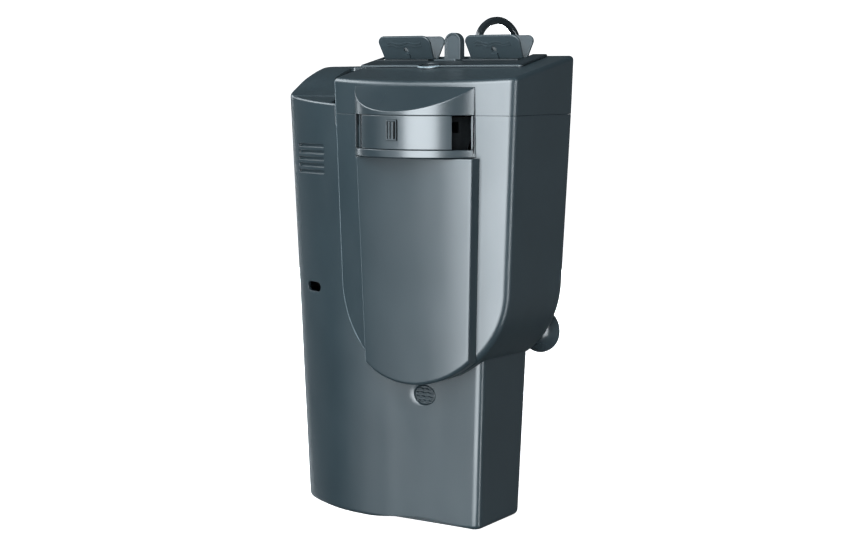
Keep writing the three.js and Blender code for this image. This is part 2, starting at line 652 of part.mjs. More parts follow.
function cups() {
  CUPS.forEach(([x, z], i) => {
    const wall = HOUSING.back + DRAFT * z;
    const lower = i < 2;
    const seat = CUP.rimY - CUP.depth;
    const reach = lower ? seat - wall - 1.2 : WALL + 1;
    add(`suction_cup_${i + 1}`, suctionCup(x, z, reach), rubber());
    if (!lower) return;
    const inward = i === 0 ? -1 : 1;
    const x0 = Math.min(x + inward * 13, x - inward * 5);
    const x1 = Math.max(x + inward * 13, x - inward * 5);
    const pad = solid(slab(roundedRect(x0, x1, z - 7, z + 7, 4), wall + 0.8, seat - GAP));
    add(`cup_bracket_${i + 1}`, pad.subtract(solid(cupNeck(CUP.neck + GAP, x, z, 30, 60))), slateDark());
  });
}

// ---- mains lead ---------------------------------------------------------------
function tube(points, radius, steps, sides) {
  const curve = new THREE.CatmullRomCurve3(points.map((p) => new THREE.Vector3(...p)), false,
    'centripetal');
  const ring = new THREE.Shape();
  for (let i = 0; i < sides; i += 1) {
    const a = (Math.PI * 2 * i) / sides;
    const step = [radius * Math.cos(a), radius * Math.sin(a)];
    if (i === 0) ring.moveTo(...step);
    else ring.lineTo(...step);
  }
  return new THREE.ExtrudeGeometry(ring, { steps, extrudePath: curve, bevelEnabled: false });
}

// The lead outside the filter: over the back edge, down behind it and along the floor.
const LEAD_ROUTE = [
  [22, 50.6, 297.3], [21.9, 50.6, 300], [21.4, 51.6, 305.5], [21.7, 55.5, 311], [23.2, 62, 315.2],
  [25.4, 69.6, 316.4], [27.6, 77, 314.4], [29.1, 83, 309.6], [29.8, 87, 302.5], [30, 88.2, 292],
  [30, 88.3, 270], [30, 88.3, 235], [30, 88.3, 195], [30, 88.3, 155], [30, 88.3, 115],
  [30, 88.3, 80], [29.8, 88, 52], [28.8, 86.6, 32], [26.6, 84, 17], [22.8, 80, 8],
  [17, 75.2, 3.8], [9.8, 70.9, 2.8], [2.4, 68, 2.7],
];

// Inside the filter, from the pump's collar up the back to the outlet boss.
const LEAD_INSIDE = [
  [22.9, 9.3, 161], [22.8, 12, 160.8], [20.5, 17, 158.5], [16.5, 22, 155.5], [14.5, 28, 153.5],
  [14.5, 34, 153.5], [16.5, 37.8, 156], [19.5, 39, 163], [21.5, 39.2, 174], [22, 39.4, 190],
  [22, 40, 215], [22, 41, 244], [22, 41.7, 255], [22, 43.6, 261], [22, 47.2, 264.6],
  [22, 50, 266.4], [22, 50.6, 269.6],
];

function lead() {
  add('pump_lead', tube(LEAD_INSIDE, CORD.radius - 0.3, 48, 8), rubber());
  const [x, y, z] = CORD.exit;
  add('strain_relief', disc([[0, z - 26.2], [3.6, z - 26.2], [3.6, z - 6], [2.7, z], [0, z]],
    x, y, 20), rubber());
  add('power_cord', tube(LEAD_ROUTE, CORD.radius, 70, 8), rubber());
  const { inner, outer, height } = COIL;
  add('cord_coil', coilRing(inner, outer, height), rubber());
  add('coil_tie', coilTie(), slateDark());
  plug();
}

function coilRing(inner, outer, height) {
  const base = 0.2;
  return disc([[inner, base], [outer, base], [outer, base + height], [inner, base + height],
    [inner, base]], COIL.x, COIL.y, 40);
}

// A flat strap round the section of the coil, at its back.
function coilTie() {
  const { x, y, inner, outer, height } = COIL;
  const middle = (inner + outer) / 2;
  const half = (outer - inner) / 2 + GAP;
  const z0 = 0.2 - 0.15;
  const strap = block(x - 3, x + 3, y + middle - half - 1.0, y + middle + half + 1.0,
    z0, height + 0.2 + GAP + 1.0);
  const ring = solid(disc([[inner - GAP, z0 + 0.1], [outer + GAP, z0 + 0.1],
    [outer + GAP, height + 0.2 + GAP], [inner - GAP, height + 0.2 + GAP],
    [inner - GAP, z0 + 0.1]], x, y, 80));
  return strap.subtract(ring).subtract(block(x - 4, x + 4, y, y + 60, -1, 0.16));
}

function plug() {
  const { x, y, z, length, width, thick, pin, pitch } = PLUG;
  const half = width / 2;
  const outline = new THREE.Shape();
  outline.moveTo(x, y - 9);
  outline.quadraticCurveTo(x - 10, y - 11, x - 14, y - half);
  outline.lineTo(x - length, y - half + 2);
  outline.lineTo(x - length, y + half - 2);
  outline.lineTo(x - 14, y + half);
  outline.quadraticCurveTo(x - 10, y + 11, x, y + 9);
  const body = solid(prism(outline, z - thick / 2, z + thick / 2, 5));
  let relief = new THREE.CylinderGeometry(3.2, 5, 19, 20).rotateZ(-Math.PI / 2);
  relief = relief.translate(x + 8.5, y, z);
  add('plug_body', body.add(solid(relief)), rubber());
  for (const [i, side] of [-1, 1].entries()) {
    const prong = new THREE.CylinderGeometry(2, 2, pin, 16).rotateZ(Math.PI / 2);
    prong.translate(x - length - GAP - pin / 2, y + (side * pitch) / 2, z);
    add(`plug_pin_${i + 1}`, prong, brass());
  }
}

// ---- assembly -----------------------------------------------------------------
function build() {
  const shell = hoodShell();
  add('housing', housing(), slate());
  add('heater_clip_lower', heaterClip(80), slateDark());
  add('heater_clip_upper', heaterClip(200), slateDark());
  add('hood_shell', hoodLower(shell), slate());
  add('hood_cap', hoodCap(shell), slate());
  add('front_panel', frontPanel(), slate());
  add('outlet_barrel', outletBarrel(), gloss());
  add('flow_shutter', flowShutter(), gloss());
  add('lid', lid(), slateDark());
  add('hood_catch', hoodCatch(), slateDark());
  cartridge('left');
  cartridge('right');
  foamColumn();
  pump();
  cups();
  lead();
}

build();
export default parts;
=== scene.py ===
# In-tank aquarium filter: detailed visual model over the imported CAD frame.
# Lengths in the shape functions are millimetres; pieces are scaled to metres at the end.
import json
import math

import bmesh
import bpy
from mathutils import Matrix, Vector


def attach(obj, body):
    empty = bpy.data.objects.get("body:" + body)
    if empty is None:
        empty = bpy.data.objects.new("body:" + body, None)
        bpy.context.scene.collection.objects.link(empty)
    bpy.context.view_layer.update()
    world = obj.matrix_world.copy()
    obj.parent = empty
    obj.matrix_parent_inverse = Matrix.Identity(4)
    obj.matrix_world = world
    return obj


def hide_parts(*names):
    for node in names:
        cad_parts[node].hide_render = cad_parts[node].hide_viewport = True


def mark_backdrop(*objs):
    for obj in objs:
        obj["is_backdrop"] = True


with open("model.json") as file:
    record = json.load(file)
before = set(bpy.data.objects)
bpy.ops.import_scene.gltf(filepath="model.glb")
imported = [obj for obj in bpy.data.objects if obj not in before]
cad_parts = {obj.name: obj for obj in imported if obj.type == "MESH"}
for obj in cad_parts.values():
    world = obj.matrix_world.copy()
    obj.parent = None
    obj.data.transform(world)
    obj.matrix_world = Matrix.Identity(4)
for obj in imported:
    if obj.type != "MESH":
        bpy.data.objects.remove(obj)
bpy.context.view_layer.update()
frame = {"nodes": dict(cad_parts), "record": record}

MM = 0.001
scene = bpy.context.scene
for startup_name in ("Cube", "Light", "Camera"):
    if startup_name in bpy.data.objects:
        bpy.data.objects.remove(bpy.data.objects[startup_name])
GAP = 0.3
WALL = 2.2

# ---- camera ---------------------------------------------------------------------
CAMERA_AT = Vector((584.6, -887.6, 280.4)) * MM
CAMERA_RIGHT = Vector((0.8425, 0.5388, 0.0)).normalized()
CAMERA_FORWARD = Vector((-0.5352, 0.8369, -0.1149)).normalized()


def camera():
    data = bpy.data.cameras.new("camera")
    data.lens = 71.28
    data.sensor_width = 36
    data.shift_x = -0.0065
    data.clip_start = 0.05
    made = bpy.data.objects.new("camera", data)
    scene.collection.objects.link(made)
    up = CAMERA_RIGHT.cross(CAMERA_FORWARD)
    axes = Matrix((CAMERA_RIGHT, up, -CAMERA_FORWARD)).transposed()
    made.matrix_world = Matrix.Translation(CAMERA_AT) @ axes.to_4x4()
    scene.camera = made


# ---- materials ------------------------------------------------------------------
class Shader:
    """A Principled material whose bump, roughness and colour vary procedurally."""

    def __init__(self, name, colour, roughness, **sockets):
        self.slot = name
        self.material = bpy.data.materials.new(name)
        self.material.use_nodes = True
        self.tree = self.material.node_tree
        self.surface = self.tree.nodes["Principled BSDF"]
        self.colour = (*colour, 1)
        self.surface.inputs["Base Color"].default_value = self.colour
        self.surface.inputs["Roughness"].default_value = roughness
        for socket, value in sockets.items():
            self.surface.inputs[socket.replace("_", " ")].default_value = value
        self.coords = self.tree.nodes.new("ShaderNodeTexCoord")
        self.height = None

    def noise(self, scale, detail=2.0, stretch=(1, 1, 1)):
        """Noise in the frame's own coordinates; scale is cells per metre."""
        mapping = self.tree.nodes.new("ShaderNodeMapping")
        mapping.inputs["Scale"].default_value = stretch
        self.tree.links.new(self.coords.outputs["Object"], mapping.inputs["Vector"])
        node = self.tree.nodes.new("ShaderNodeTexNoise")
        node.inputs["Scale"].default_value = scale
        node.inputs["Detail"].default_value = detail
        self.tree.links.new(mapping.outputs["Vector"], node.inputs["Vector"])
        return node.outputs["Fac"]

    def cells(self, scale, feature="F1"):
        node = self.tree.nodes.new("ShaderNodeTexVoronoi")
        node.feature = feature
        node.inputs["Scale"].default_value = scale
        self.tree.links.new(self.coords.outputs["Object"], node.inputs["Vector"])
        return node.outputs["Distance"]

    def remap(self, value, low, high, out_low, out_high):
        node = self.tree.nodes.new("ShaderNodeMapRange")
        for socket, number in zip(("From Min", "From Max", "To Min", "To Max"),
                                  (low, high, out_low, out_high)):
            node.inputs[socket].default_value = number
        self.tree.links.new(value, node.inputs["Value"])
        return node.outputs["Result"]

    def vary_roughness(self, value, low, high):
        self.tree.links.new(self.remap(value, 0.3, 0.7, low, high),
                            self.surface.inputs["Roughness"])
        return self

    def vary_colour(self, value, other, low=0.3, high=0.7):
        mix = self.tree.nodes.new("ShaderNodeMix")
        mix.data_type = "RGBA"
        mix.inputs["A"].default_value = self.colour
        mix.inputs["B"].default_value = (*other, 1)
        self.tree.links.new(self.remap(value, low, high, 0, 1), mix.inputs["Factor"])
        self.tree.links.new(mix.outputs["Result"], self.surface.inputs["Base Color"])
        return self

    def bump(self, value, strength, millimetres):
        node = self.tree.nodes.new("ShaderNodeBump")
        node.inputs["Strength"].default_value = strength
        node.inputs["Distance"].default_value = millimetres * MM
        self.tree.links.new(value, node.inputs["Height"])
        if self.height is not None:
            self.tree.links.new(self.height, node.inputs["Normal"])
        self.height = node.outputs["Normal"]
        self.tree.links.new(self.height, self.surface.inputs["Normal"])
        return self


def moulded(name, colour, worn, roughness, grain=0.25, **sockets):
    """Injection-moulded plastic: a fine grain, faint flow unevenness and handling marks."""
    shader = Shader(name, colour, roughness, **sockets)
    shader.bump(shader.noise(2600, 3), grain, 0.02)
    shader.bump(shader.noise(42, 1), 0.12, 0.12)
    shader.vary_roughness(shader.noise(55, 4, (1, 1, 0.4)), roughness - 0.03, roughness + 0.04)
    shader.vary_colour(shader.noise(24, 5), worn)
    return shader.material


def materials():
    made = {
        "shell_slate": moulded("shell_slate", (0.0125, 0.021, 0.0255), (0.015, 0.025, 0.03), 0.33,
                               Specular_IOR_Level=1.0),
        "shell_dark": moulded("shell_dark", (0.006, 0.0105, 0.013), (0.009, 0.014, 0.017), 0.4,
                              grain=0.45),
        "outlet_gloss": moulded("outlet_gloss", (0.014, 0.022, 0.026), (0.018, 0.027, 0.032), 0.31,
                                grain=0.08, Specular_IOR_Level=1.0, Coat_Weight=0.35,
                                Coat_Roughness=0.25),
        "handle_grey": moulded("handle_grey", (0.019, 0.029, 0.034), (0.024, 0.036, 0.042), 0.38,
                               grain=0.4, Specular_IOR_Level=0.8),
        "impeller_plastic": moulded("impeller_plastic", (0.7, 0.72, 0.73), (0.66, 0.69, 0.7), 0.32),
        "soft_rubber": moulded("soft_rubber", (0.012, 0.015, 0.017), (0.02, 0.023, 0.025), 0.6),
        "cup_rubber": moulded("cup_rubber", (0.016, 0.024, 0.028), (0.022, 0.03, 0.034), 0.22,
                              grain=0.1, Specular_IOR_Level=0.8),
        "cord_black": moulded("cord_black", (0.004, 0.007, 0.008), (0.007, 0.01, 0.012), 0.2,
                              grain=0.12, Specular_IOR_Level=1.0, Coat_Weight=0.4,
                              Coat_Roughness=0.12),
        # A lighter grey put on narrow fillets: a painted highlight line along those edges.
        "painted_highlight_edge": moulded("painted_highlight_edge", (0.19, 0.23, 0.25), (0.15, 0.19, 0.21), 0.25,
                               grain=0.08),
    }
    shade = Shader("inner_shade", (0.0015, 0.002, 0.0025), 0.8, Specular_IOR_Level=0.1)
    shade.bump(shade.noise(1200, 3), 0.3, 0.03)
    shade.vary_colour(shade.noise(300, 3), (0.0025, 0.0035, 0.004))
    fleece = Shader("fleece", (0.8, 0.8, 0.76), 0.95, Sheen_Weight=0.4)
    fleece.bump(fleece.noise(900, 6, (1, 1, 3)), 0.9, 0.6)
    fleece.vary_colour(fleece.noise(300, 4), (0.62, 0.62, 0.58))
    carbon = Shader("carbon", (0.02, 0.02, 0.02), 0.75)
    carbon.bump(carbon.cells(650), 1.0, 0.8)
    carbon.vary_colour(carbon.cells(650), (0.05, 0.05, 0.052))
    pores = Shader("bio_foam", (0.03, 0.035, 0.038), 0.95)
    pores.bump(pores.cells(700, "DISTANCE_TO_EDGE"), 1.0, 0.9)
    pores.vary_colour(pores.cells(700, "DISTANCE_TO_EDGE"), (0.008, 0.009, 0.01), 0.0, 0.2)
    ceramic = Shader("ceramic", (0.85, 0.83, 0.78), 0.25)
    ceramic.bump(ceramic.noise(1500, 2), 0.1, 0.01)
    ceramic.vary_colour(ceramic.noise(200, 2), (0.8, 0.78, 0.72))
    magnet = Shader("magnet", (0.06, 0.06, 0.065), 0.5, Metallic=0.4)
    magnet.bump(magnet.noise(3000, 3), 0.5, 0.03)
    magnet.vary_colour(magnet.noise(800, 3), (0.09, 0.09, 0.095))
    pins = Shader("pin_metal", (0.78, 0.68, 0.45), 0.22, Metallic=1.0)
    pins.bump(pins.noise(2000, 2, (0.05, 1, 1)), 0.2, 0.01)
    pins.vary_roughness(pins.noise(400, 3), 0.18, 0.32)
    for shader in (shade, fleece, carbon, pores, ceramic, magnet, pins):
        made[shader.slot] = shader.material
    return made


# ---- mesh helpers ---------------------------------------------------------------
def mesh_object(name, points, faces):
    mesh = bpy.data.meshes.new(name)
    mesh.from_pydata([tuple(p) for p in points], [], faces)
    made = bpy.data.objects.new(name, mesh)
    scene.collection.objects.link(made)
    return edit(made, lambda bm: bmesh.ops.recalc_face_normals(bm, faces=bm.faces))


def edit(piece, change):
    """Runs change on the piece's mesh as a bmesh."""
    bm = bmesh.new()
    bm.from_mesh(piece.data)
    change(bm)
    bm.to_mesh(piece.data)
    bm.free()
    piece.data.update()
    return piece


def loft(rings, name="shape"):
    """A closed solid through rings that have the same number of points."""
    count = len(rings[0])
    points = [p for ring in rings for p in ring]
    faces = [list(range(count))[::-1], [len(points) - count + i for i in range(count)]]
    for k in range(len(rings) - 1):
        low, high = k * count, (k + 1) * count
        for i in range(count):
            j = (i + 1) % count
            faces.append([low + i, low + j, high + j, high + i])
    return mesh_object(name, points, faces)


def box(x0, x1, y0, y1, z0, z1):
    ring = [(x0, y0), (x1, y0), (x1, y1), (x0, y1)]
    return loft([[(x, y, z) for x, y in ring] for z in (z0, z1)])


def upright(outline, z0, z1):
    """An outline in x and y, extruded upward."""
    return loft([[(x, y, z) for x, y in outline] for z in (z0, z1)])


def frontal(outline, y0, y1):
    """An outline in x and z, extruded backward."""
    return loft([[(x, y, z) for x, z in outline] for y in (y0, y1)])


def sideways(outline, x0, x1):
    """An outline in y and z, extruded to the right."""
    return loft([[(x, y, z) for y, z in outline] for x in (x0, x1)])


def arc(cx, cy, radius, start, end, steps, radius_y=None):
    tall = radius if radius_y is None else radius_y
    angles = [math.radians(start + (end - start) * i / steps) for i in range(steps + 1)]
    return [(cx + radius * math.cos(a), cy + tall * math.sin(a)) for a in angles]


def rounded(x0, x1, y0, y1, r, steps=6):
    return (arc(x1 - r, y0 + r, r, -90, 0, steps) + arc(x1 - r, y1 - r, r, 0, 90, steps)
            + arc(x0 + r, y1 - r, r, 90, 180, steps) + arc(x0 + r, y0 + r, r, 180, 270, steps))


def ellipse(cx, cy, rx, ry, steps=48):
    return arc(cx, cy, rx, 0, 360, steps, ry)[:-1]


def rod(radius, z0, z1, x, y, sides=48):
    return upright(ellipse(x, y, radius, radius, sides), z0, z1)


def lathe(profile, centre, axis, sides=72):
    """A closed profile of (radius, height) turned about an axis, "y" or "z"."""
    count = len(profile)
    points, faces = [], []
    for i in range(sides):
        a = math.tau * i / sides
        for r, h in profile:
            r = max(r, 0.001)
            flat = (r * math.cos(a), r * math.sin(a))
            local = (flat[0], flat[1], h) if axis == "z" else (flat[0], h, flat[1])
            points.append([c + p for c, p in zip(centre, local)])
    for i in range(sides):
        a, b = i * count, ((i + 1) % sides) * count
        for k in range(count):
            m = (k + 1) % count
            faces.append([a + k, b + k, b + m, a + m])
    made = mesh_object("turned", points, faces)
    return edit(made, lambda bm: bmesh.ops.remove_doubles(bm, verts=bm.verts, dist=0.005))


def settle(piece):
    """Applies the piece's modifiers."""
    graph = bpy.context.evaluated_depsgraph_get()
    mesh = bpy.data.meshes.new_from_object(piece.evaluated_get(graph))
    piece.modifiers.clear()
    piece.data = mesh
    return piece


def boolean(piece, operation, tools):
    for tool in tools:
        step = piece.modifiers.new("boolean", "BOOLEAN")
        step.operation = operation
        step.solver = "MANIFOLD"
        step.object = tool
    settle(piece)
    for tool in tools:
        bpy.data.objects.remove(tool)

    def clean(bm):
        bmesh.ops.remove_doubles(bm, verts=bm.verts, dist=0.004)
        bmesh.ops.dissolve_degenerate(bm, edges=bm.edges, dist=0.004)
    return edit(piece, clean)


def cut(piece, *tools):
    return boolean(piece, "DIFFERENCE", tools)


def join(piece, *tools):
    return boolean(piece, "UNION", tools)


def common(piece, *tools):
    return boolean(piece, "INTERSECT", tools)


def round_edges(piece, width, chosen, segments=5):
    """Rounds the sharp edges for which chosen(middle, normal_a, normal_b) is true."""
    def change(bm):
        bm.normal_update()
        edges = []
        for e in bm.edges:
            if len(e.link_faces) == 2 and e.calc_face_angle(0) > math.radians(32):
                middle = (e.verts[0].co + e.verts[1].co) / 2
                if chosen(middle, e.link_faces[0].normal, e.link_faces[1].normal):
                    edges.append(e)
        bmesh.ops.bevel(bm, geom=edges, offset=width, segments=segments, profile=0.5,
                        affect="EDGES", clamp_overlap=False)
    return edit(piece, change)


def paint(piece, slot, chosen):
    """Gives the faces for which chosen(middle, normal) is true, in metres, another material; the calls
    use it mostly for painted shade and painted highlights.
    """
    piece.data.materials.append(MATERIALS[slot])
    index = len(piece.data.materials) - 1
    for face in piece.data.polygons:
        if chosen(face.center, face.normal):
            face.material_index = index
    return piece


def between(a, b, first, second):
    """True if one normal passes the first test and the other the second."""
    return (first(a) and second(b)) or (first(b) and second(a))


MATERIALS = materials()


def finish(piece, name, nodes, body, slot, edge=0.4, segments=2):
    """Softens the sharp edges, scales to metres and hands the piece to the frame."""
    if edge:
        bevel = piece.modifiers.new("edges", "BEVEL")
        bevel.width = edge
        bevel.segments = segments
        bevel.limit_method = "ANGLE"
        bevel.angle_limit = math.radians(38)
        bevel.use_clamp_overlap = False
    settle(piece)
    piece.data.polygons.foreach_set("use_smooth", [True] * len(piece.data.polygons))
    piece.data.set_sharp_from_angle(angle=math.radians(50))
    weighted = piece.modifiers.new("normals", "WEIGHTED_NORMAL")
    weighted.keep_sharp = True
    settle(piece)
    piece.data.transform(Matrix.Scale(MM, 4))
    piece.name = name
    return hand_over(piece, nodes, body, slot)


def hand_over(piece, nodes, body, slot):
    piece.data.materials.clear()
    piece.data.materials.append(MATERIALS[slot])
    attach(piece, body)
    if nodes:
        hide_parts(*nodes)
    return piece


# ---- the mains lead -------------------------------------------------------------
CORD_EXIT = (22, 50.6, 297)
CORD_RADIUS = 2.5
COIL_CENTRE = (-20, 97)
LEAD_ROUTE = [
    (22, 50.6, 297.3), (21.9, 50.6, 300), (21.4, 51.6, 305.5), (21.7, 55.5, 311),
    (23.2, 62, 315.2), (25.4, 69.6, 316.4), (27.6, 77, 314.4), (29.1, 83, 309.6),
    (29.8, 87, 302.5), (30, 88.2, 292), (30, 88.3, 270), (30, 88.3, 235), (30, 88.3, 195),
    (30, 88.3, 155), (30, 88.3, 115), (30, 88.3, 80), (29.8, 88, 52), (28.8, 86.6, 32),
    (26.6, 84, 17), (22.8, 80, 8), (17, 75.2, 3.8), (9.8, 70.9, 2.8), (2.4, 68, 2.7),
    (-8, 66.8, 2.7),
]
# Each turn of the coil has its own radius and height; the lead steps from one to the
# next a little earlier in every turn, so its turns never meet.
COIL_TURNS = [(30.5, 2.7), (25.5, 2.7), (25.5, 7.7), (25.5, 12.7), (28, 17.1), (30.5, 12.7),
              (30.5, 7.7)]
FIRST_STEP, STEP_RETREAT, STEP_WIDTH = 318, 45, 40


def smooth_path(points, steps):
    """A centripetal Catmull-Rom curve through the points."""
    points = [Vector(p) for p in points]
    padded = [2 * points[0] - points[1], *points, 2 * points[-1] - points[-2]]
    path = []
    for a, b, c, d in zip(padded, padded[1:], padded[2:], padded[3:]):
        knots = [0]
        for p, q in ((a, b), (b, c), (c, d)):
            knots.append(knots[-1] + (q - p).length ** 0.5)
        for i in range(steps):
            t = knots[1] + (knots[2] - knots[1]) * i / steps

            def along(p, q, start, end):
                return p * ((end - t) / (end - start)) + q * ((t - start) / (end - start))
            ab, bc, cd = (along(a, b, *knots[0:2]), along(b, c, *knots[1:3]),
                          along(c, d, *knots[2:4]))
            low, high = along(ab, bc, knots[0], knots[2]), along(bc, cd, knots[1], knots[3])
            path.append(along(low, high, knots[1], knots[2]))
    return path + [points[-1]]


def coil_path():
    path = []
    turns = len(COIL_TURNS) - 1
    for degrees in range(0, 360 * turns + 1, 8):
        radius, height = COIL_TURNS[0]
        for k, (next_radius, next_height) in enumerate(COIL_TURNS[1:]):
            start = 360 * k + FIRST_STEP - STEP_RETREAT * k - STEP_WIDTH / 2
            t = min(max((degrees - start) / STEP_WIDTH, 0), 1)
            t = t * t * (3 - 2 * t)
            radius += (next_radius - COIL_TURNS[k][0]) * t
            height += (next_height - COIL_TURNS[k][1]) * t
        a = math.radians(degrees)
        path.append(Vector((COIL_CENTRE[0] - radius * math.sin(a),
                            COIL_CENTRE[1] - radius * math.cos(a), height)))
    return path


def lead():
    route = smooth_path([*LEAD_ROUTE, coil_path()[0]], 5)[:-1]
    tail = [(-27, 66.5, 7.6), (-35, 66.5, 7.1), (-43, 66.5, 7)]
    path = route + coil_path() + [Vector(p) for p in tail]
    data = bpy.data.curves.new("power_lead", "CURVE")
    data.dimensions = "3D"
    data.bevel_depth = CORD_RADIUS * MM
    data.bevel_resolution = 5
    data.use_fill_caps = True
    spline = data.splines.new("POLY")
    spline.points.add(len(path) - 1)
    for point, place in zip(spline.points, path):
        point.co = (*(place * MM), 1)
    spline.use_smooth = True
    made = bpy.data.objects.new("power_lead", data)
    scene.collection.objects.link(made)
    return hand_over(made, ["power_cord", "cord_coil"], "root", "cord_black")


def strain_relief():
    x, y, z = CORD_EXIT
    profile = [(0, z - 26.2), (3.5, z - 26.2), (3.6, z - 25.8), (3.6, z - 7)]
    for i in range(5):
        radius = 3.45 - 0.13 * i
        low = z - 6.6 + 1.3 * i
        profile += [(radius, low), (radius, low + 0.7), (radius - 0.35, low + 0.8),
                    (radius - 0.35, low + 1.25)]
    profile += [(2.62, z - 0.1), (0, z - 0.1)]
    sleeve = lathe(profile, (x, y, 0), "z", 40)
    return finish(sleeve, "strain_relief_sleeve", ["strain_relief"], "root", "cord_black", 0)


PLUG = {"x": -57.3, "y": 66.5, "z": 7, "length": 36, "width": 35, "thick": 13.7,
        "pitch": 18.6}


def plug():
    x, y, z, length = PLUG["x"], PLUG["y"], PLUG["z"], PLUG["length"]
    half, thick = PLUG["width"] / 2, PLUG["thick"] / 2
    side = [(0, 9), (-4, 9.4), (-8, 10.6), (-11, 13), (-14, half - 0.8), (-18, half),
            (-length + 6, half - 0.4), (-length + 1.5, half - 1.5), (-length, half - 3)]
    sections = []
    for dx, reach in side:
        tall = thick if dx < -2 else thick - 0.8
        ring = rounded(y - reach, y + reach, z - tall, z + tall, min(tall, reach) * 0.55, 5)
        sections.append([(x + dx, a, b) for a, b in ring])
    body = loft(sections)
    for i in range(3):
        groove = box(x - 19 - 3.2 * i, x - 17.6 - 3.2 * i, y - 9, y + 9, z + thick - 0.5, z + thick + 2)
        body = cut(body, groove)
    relief = []
    for i in range(8):
        reach = 5 - 1.6 * i / 7
        at = x + 18.4 * i / 7.4
        for dx, r in ((0, reach), (1.5, reach - 0.05), (1.5, reach - 0.6), (2.45, reach - 0.65)):
            if at + dx < x + 18.7:
                relief.append((r, at + dx))
    relief = [(0, x - 1.0), (5, x - 1.0), *relief, (0, relief[-1][1])]
    sleeve = lathe([(r, h) for r, h in relief], (0, 0, 0), "z", 36)
    sleeve.data.transform(Matrix.Translation((0, y, z)) @ Matrix.Rotation(math.radians(90), 4, "Y"))
    made = finish(join(body, sleeve), "mains_plug", ["plug_body"], "root", "cord_black", 0.35)
    pins = []
    for i, sign in enumerate((-1, 1)):
        profile = [(0, 0), (2, 0), (2, 17.4), (1.7, 18.5), (1, 19), (0, 19)]
        pin = lathe(profile, (0, 0, 0), "z", 32)
        turn = Matrix.Rotation(math.radians(-90), 4, "Y")
        place = Matrix.Translation((x - length - GAP, y + sign * PLUG["pitch"] / 2, z))
        pin.data.transform(place @ turn)
        pins.append(finish(pin, f"mains_pin_{i + 1}", [f"plug_pin_{i + 1}"], "root", "pin_metal", 0))
    return [made, *pins]


def coil_tie():
    """A band round the section of the coil, at its back, with a buckle on top."""
    x, y = COIL_CENTRE
    outer = rounded(y + 21.7, y + 34.3, 0.06, 20.8, 3.2)
    inner = rounded(y + 22.6, y + 33.4, 0.14, 19.9, 2.6)
    band = cut(sideways(outer, x - 3, x + 3), sideways(inner, x - 5, x + 5))
    band = join(band, box(x - 4, x + 4, y + 26, y + 31, 20.2, 21.4))
    return finish(band, "coil_band", ["coil_tie"], "root", "shell_dark", 0.25)


camera()
cord = lead()
strain_relief()
on_the_lead = plug() + [coil_tie()]


# ---- housing --------------------------------------------------------------------
HOUSING = {"right": 62, "back": 38.5, "left": -81.83, "draft": 0.033, "left_draft": 0.044,
           "front_draft": 0.012, "corner": 6, "top": 250}
BAY_RIGHT, BAY_DIVIDER, BAY_PLATE = -47, 2, 2.6
CUPS = [(66, 118), (-62, 118), (52, 232), (-62, 232)]
CATCH = {"x": 25, "z": 82.6, "width": 14.4, "height": 11.6, "skin": -19.2}


def spline(points, steps):
    """A uniform Catmull-Rom curve through flat points."""
    padded = [points[0], *points, points[-1]]
    made = []
    for a, b, c, d in zip(padded, padded[1:], padded[2:], padded[3:]):
        for i in range(steps):
            t = i / steps
            made.append(tuple(
                0.5 * (2 * q + (r - p) * t + (2 * p - 5 * q + 4 * r - s) * t * t
                       + (3 * q - p - 3 * r + s) * t ** 3)
                for p, q, r, s in zip(a, b, c, d)))
    return made + [points[-1]]


def housing_ring(z, inset=0.0):
    """The housing's outline at height z, moved inward by inset."""
    right = HOUSING["right"] + HOUSING["draft"] * z - inset
    back = HOUSING["back"] + HOUSING["draft"] * z - inset
    left = HOUSING["left"] - HOUSING["left_draft"] * z + inset
    slide = inset - HOUSING["left_draft"] * z
    dy = inset - HOUSING["front_draft"] * z
    r = HOUSING["corner"]
    curve = spline([(left, 14), (-80.6 + slide, 5 + dy), (-75.5 + slide * 0.9, -2.2 + dy),
                    (-58 + slide * 0.5, -11.7 + dy), (-40, -18.2 + dy), (-22, -20.9 + dy),
                    (-6, -20.7 + dy), (10, -19.3 + dy), (34, -17.5 + dy),
                    (right - 5, -15.6 + dy)], 8)
    corner = [(right - 5 * (1 - t) ** 2,
               -15.6 * (1 - t) ** 2 - 30.4 * t * (1 - t) - 10.2 * t * t + dy)
              for t in (i / 12 for i in range(1, 13))]
    outline = (curve + corner + arc(right - r, back - r, r, 0, 90, 8)
               + arc(left + r, back - r, r, 90, 180, 8))
    return [(x, y, z) for x, y in outline]


def housing_solid(inset, z0, z1):
    levels = [z for z in range(15, int(z1) - 5, 12) if z > z0]
    foot = [(0, 2.4), (0.25, 1.5), (0.9, 0.75), (1.8, 0.2), (3, 0)] if z0 == 0 else [(z0, 0)]
    return loft([housing_ring(z, inset + d) for z, d in foot]
                + [housing_ring(z, inset) for z in [*levels, z1]])


def bay_roof(drop, left=-120, right=40):
    """Everything above the bay's roof, which rises and flattens towards the back."""
    line = [(-40, 252), (-21, 263)]
    line += spline([(-21, 263), (-6, 267.2), (6, 272), (20, 279.3), (38, 285.6), (52, 287.2)],
                   10)[1:]
    line = [(y, z - drop) for y, z in line]
    return sideways(line + [(52, 330), (-40, 330)], left, right)


def dimple(x, z, rx, rz, skin, radius):
    """An oval hole from the front whose edge rounds off into the skin."""
    flare = [(skin + 9, 0)] + [(skin + radius * (1 - math.sin(a)), radius * (1 - math.cos(a)))
                               for a in (math.radians(12 * i) for i in range(7))]
    flare.append((skin - 1.5, flare[-1][1] + 5.2))
    return loft([[(px, y, pz) for px, pz in ellipse(x, z, rx + grow, rz + grow, 64)]
                 for y, grow in flare])


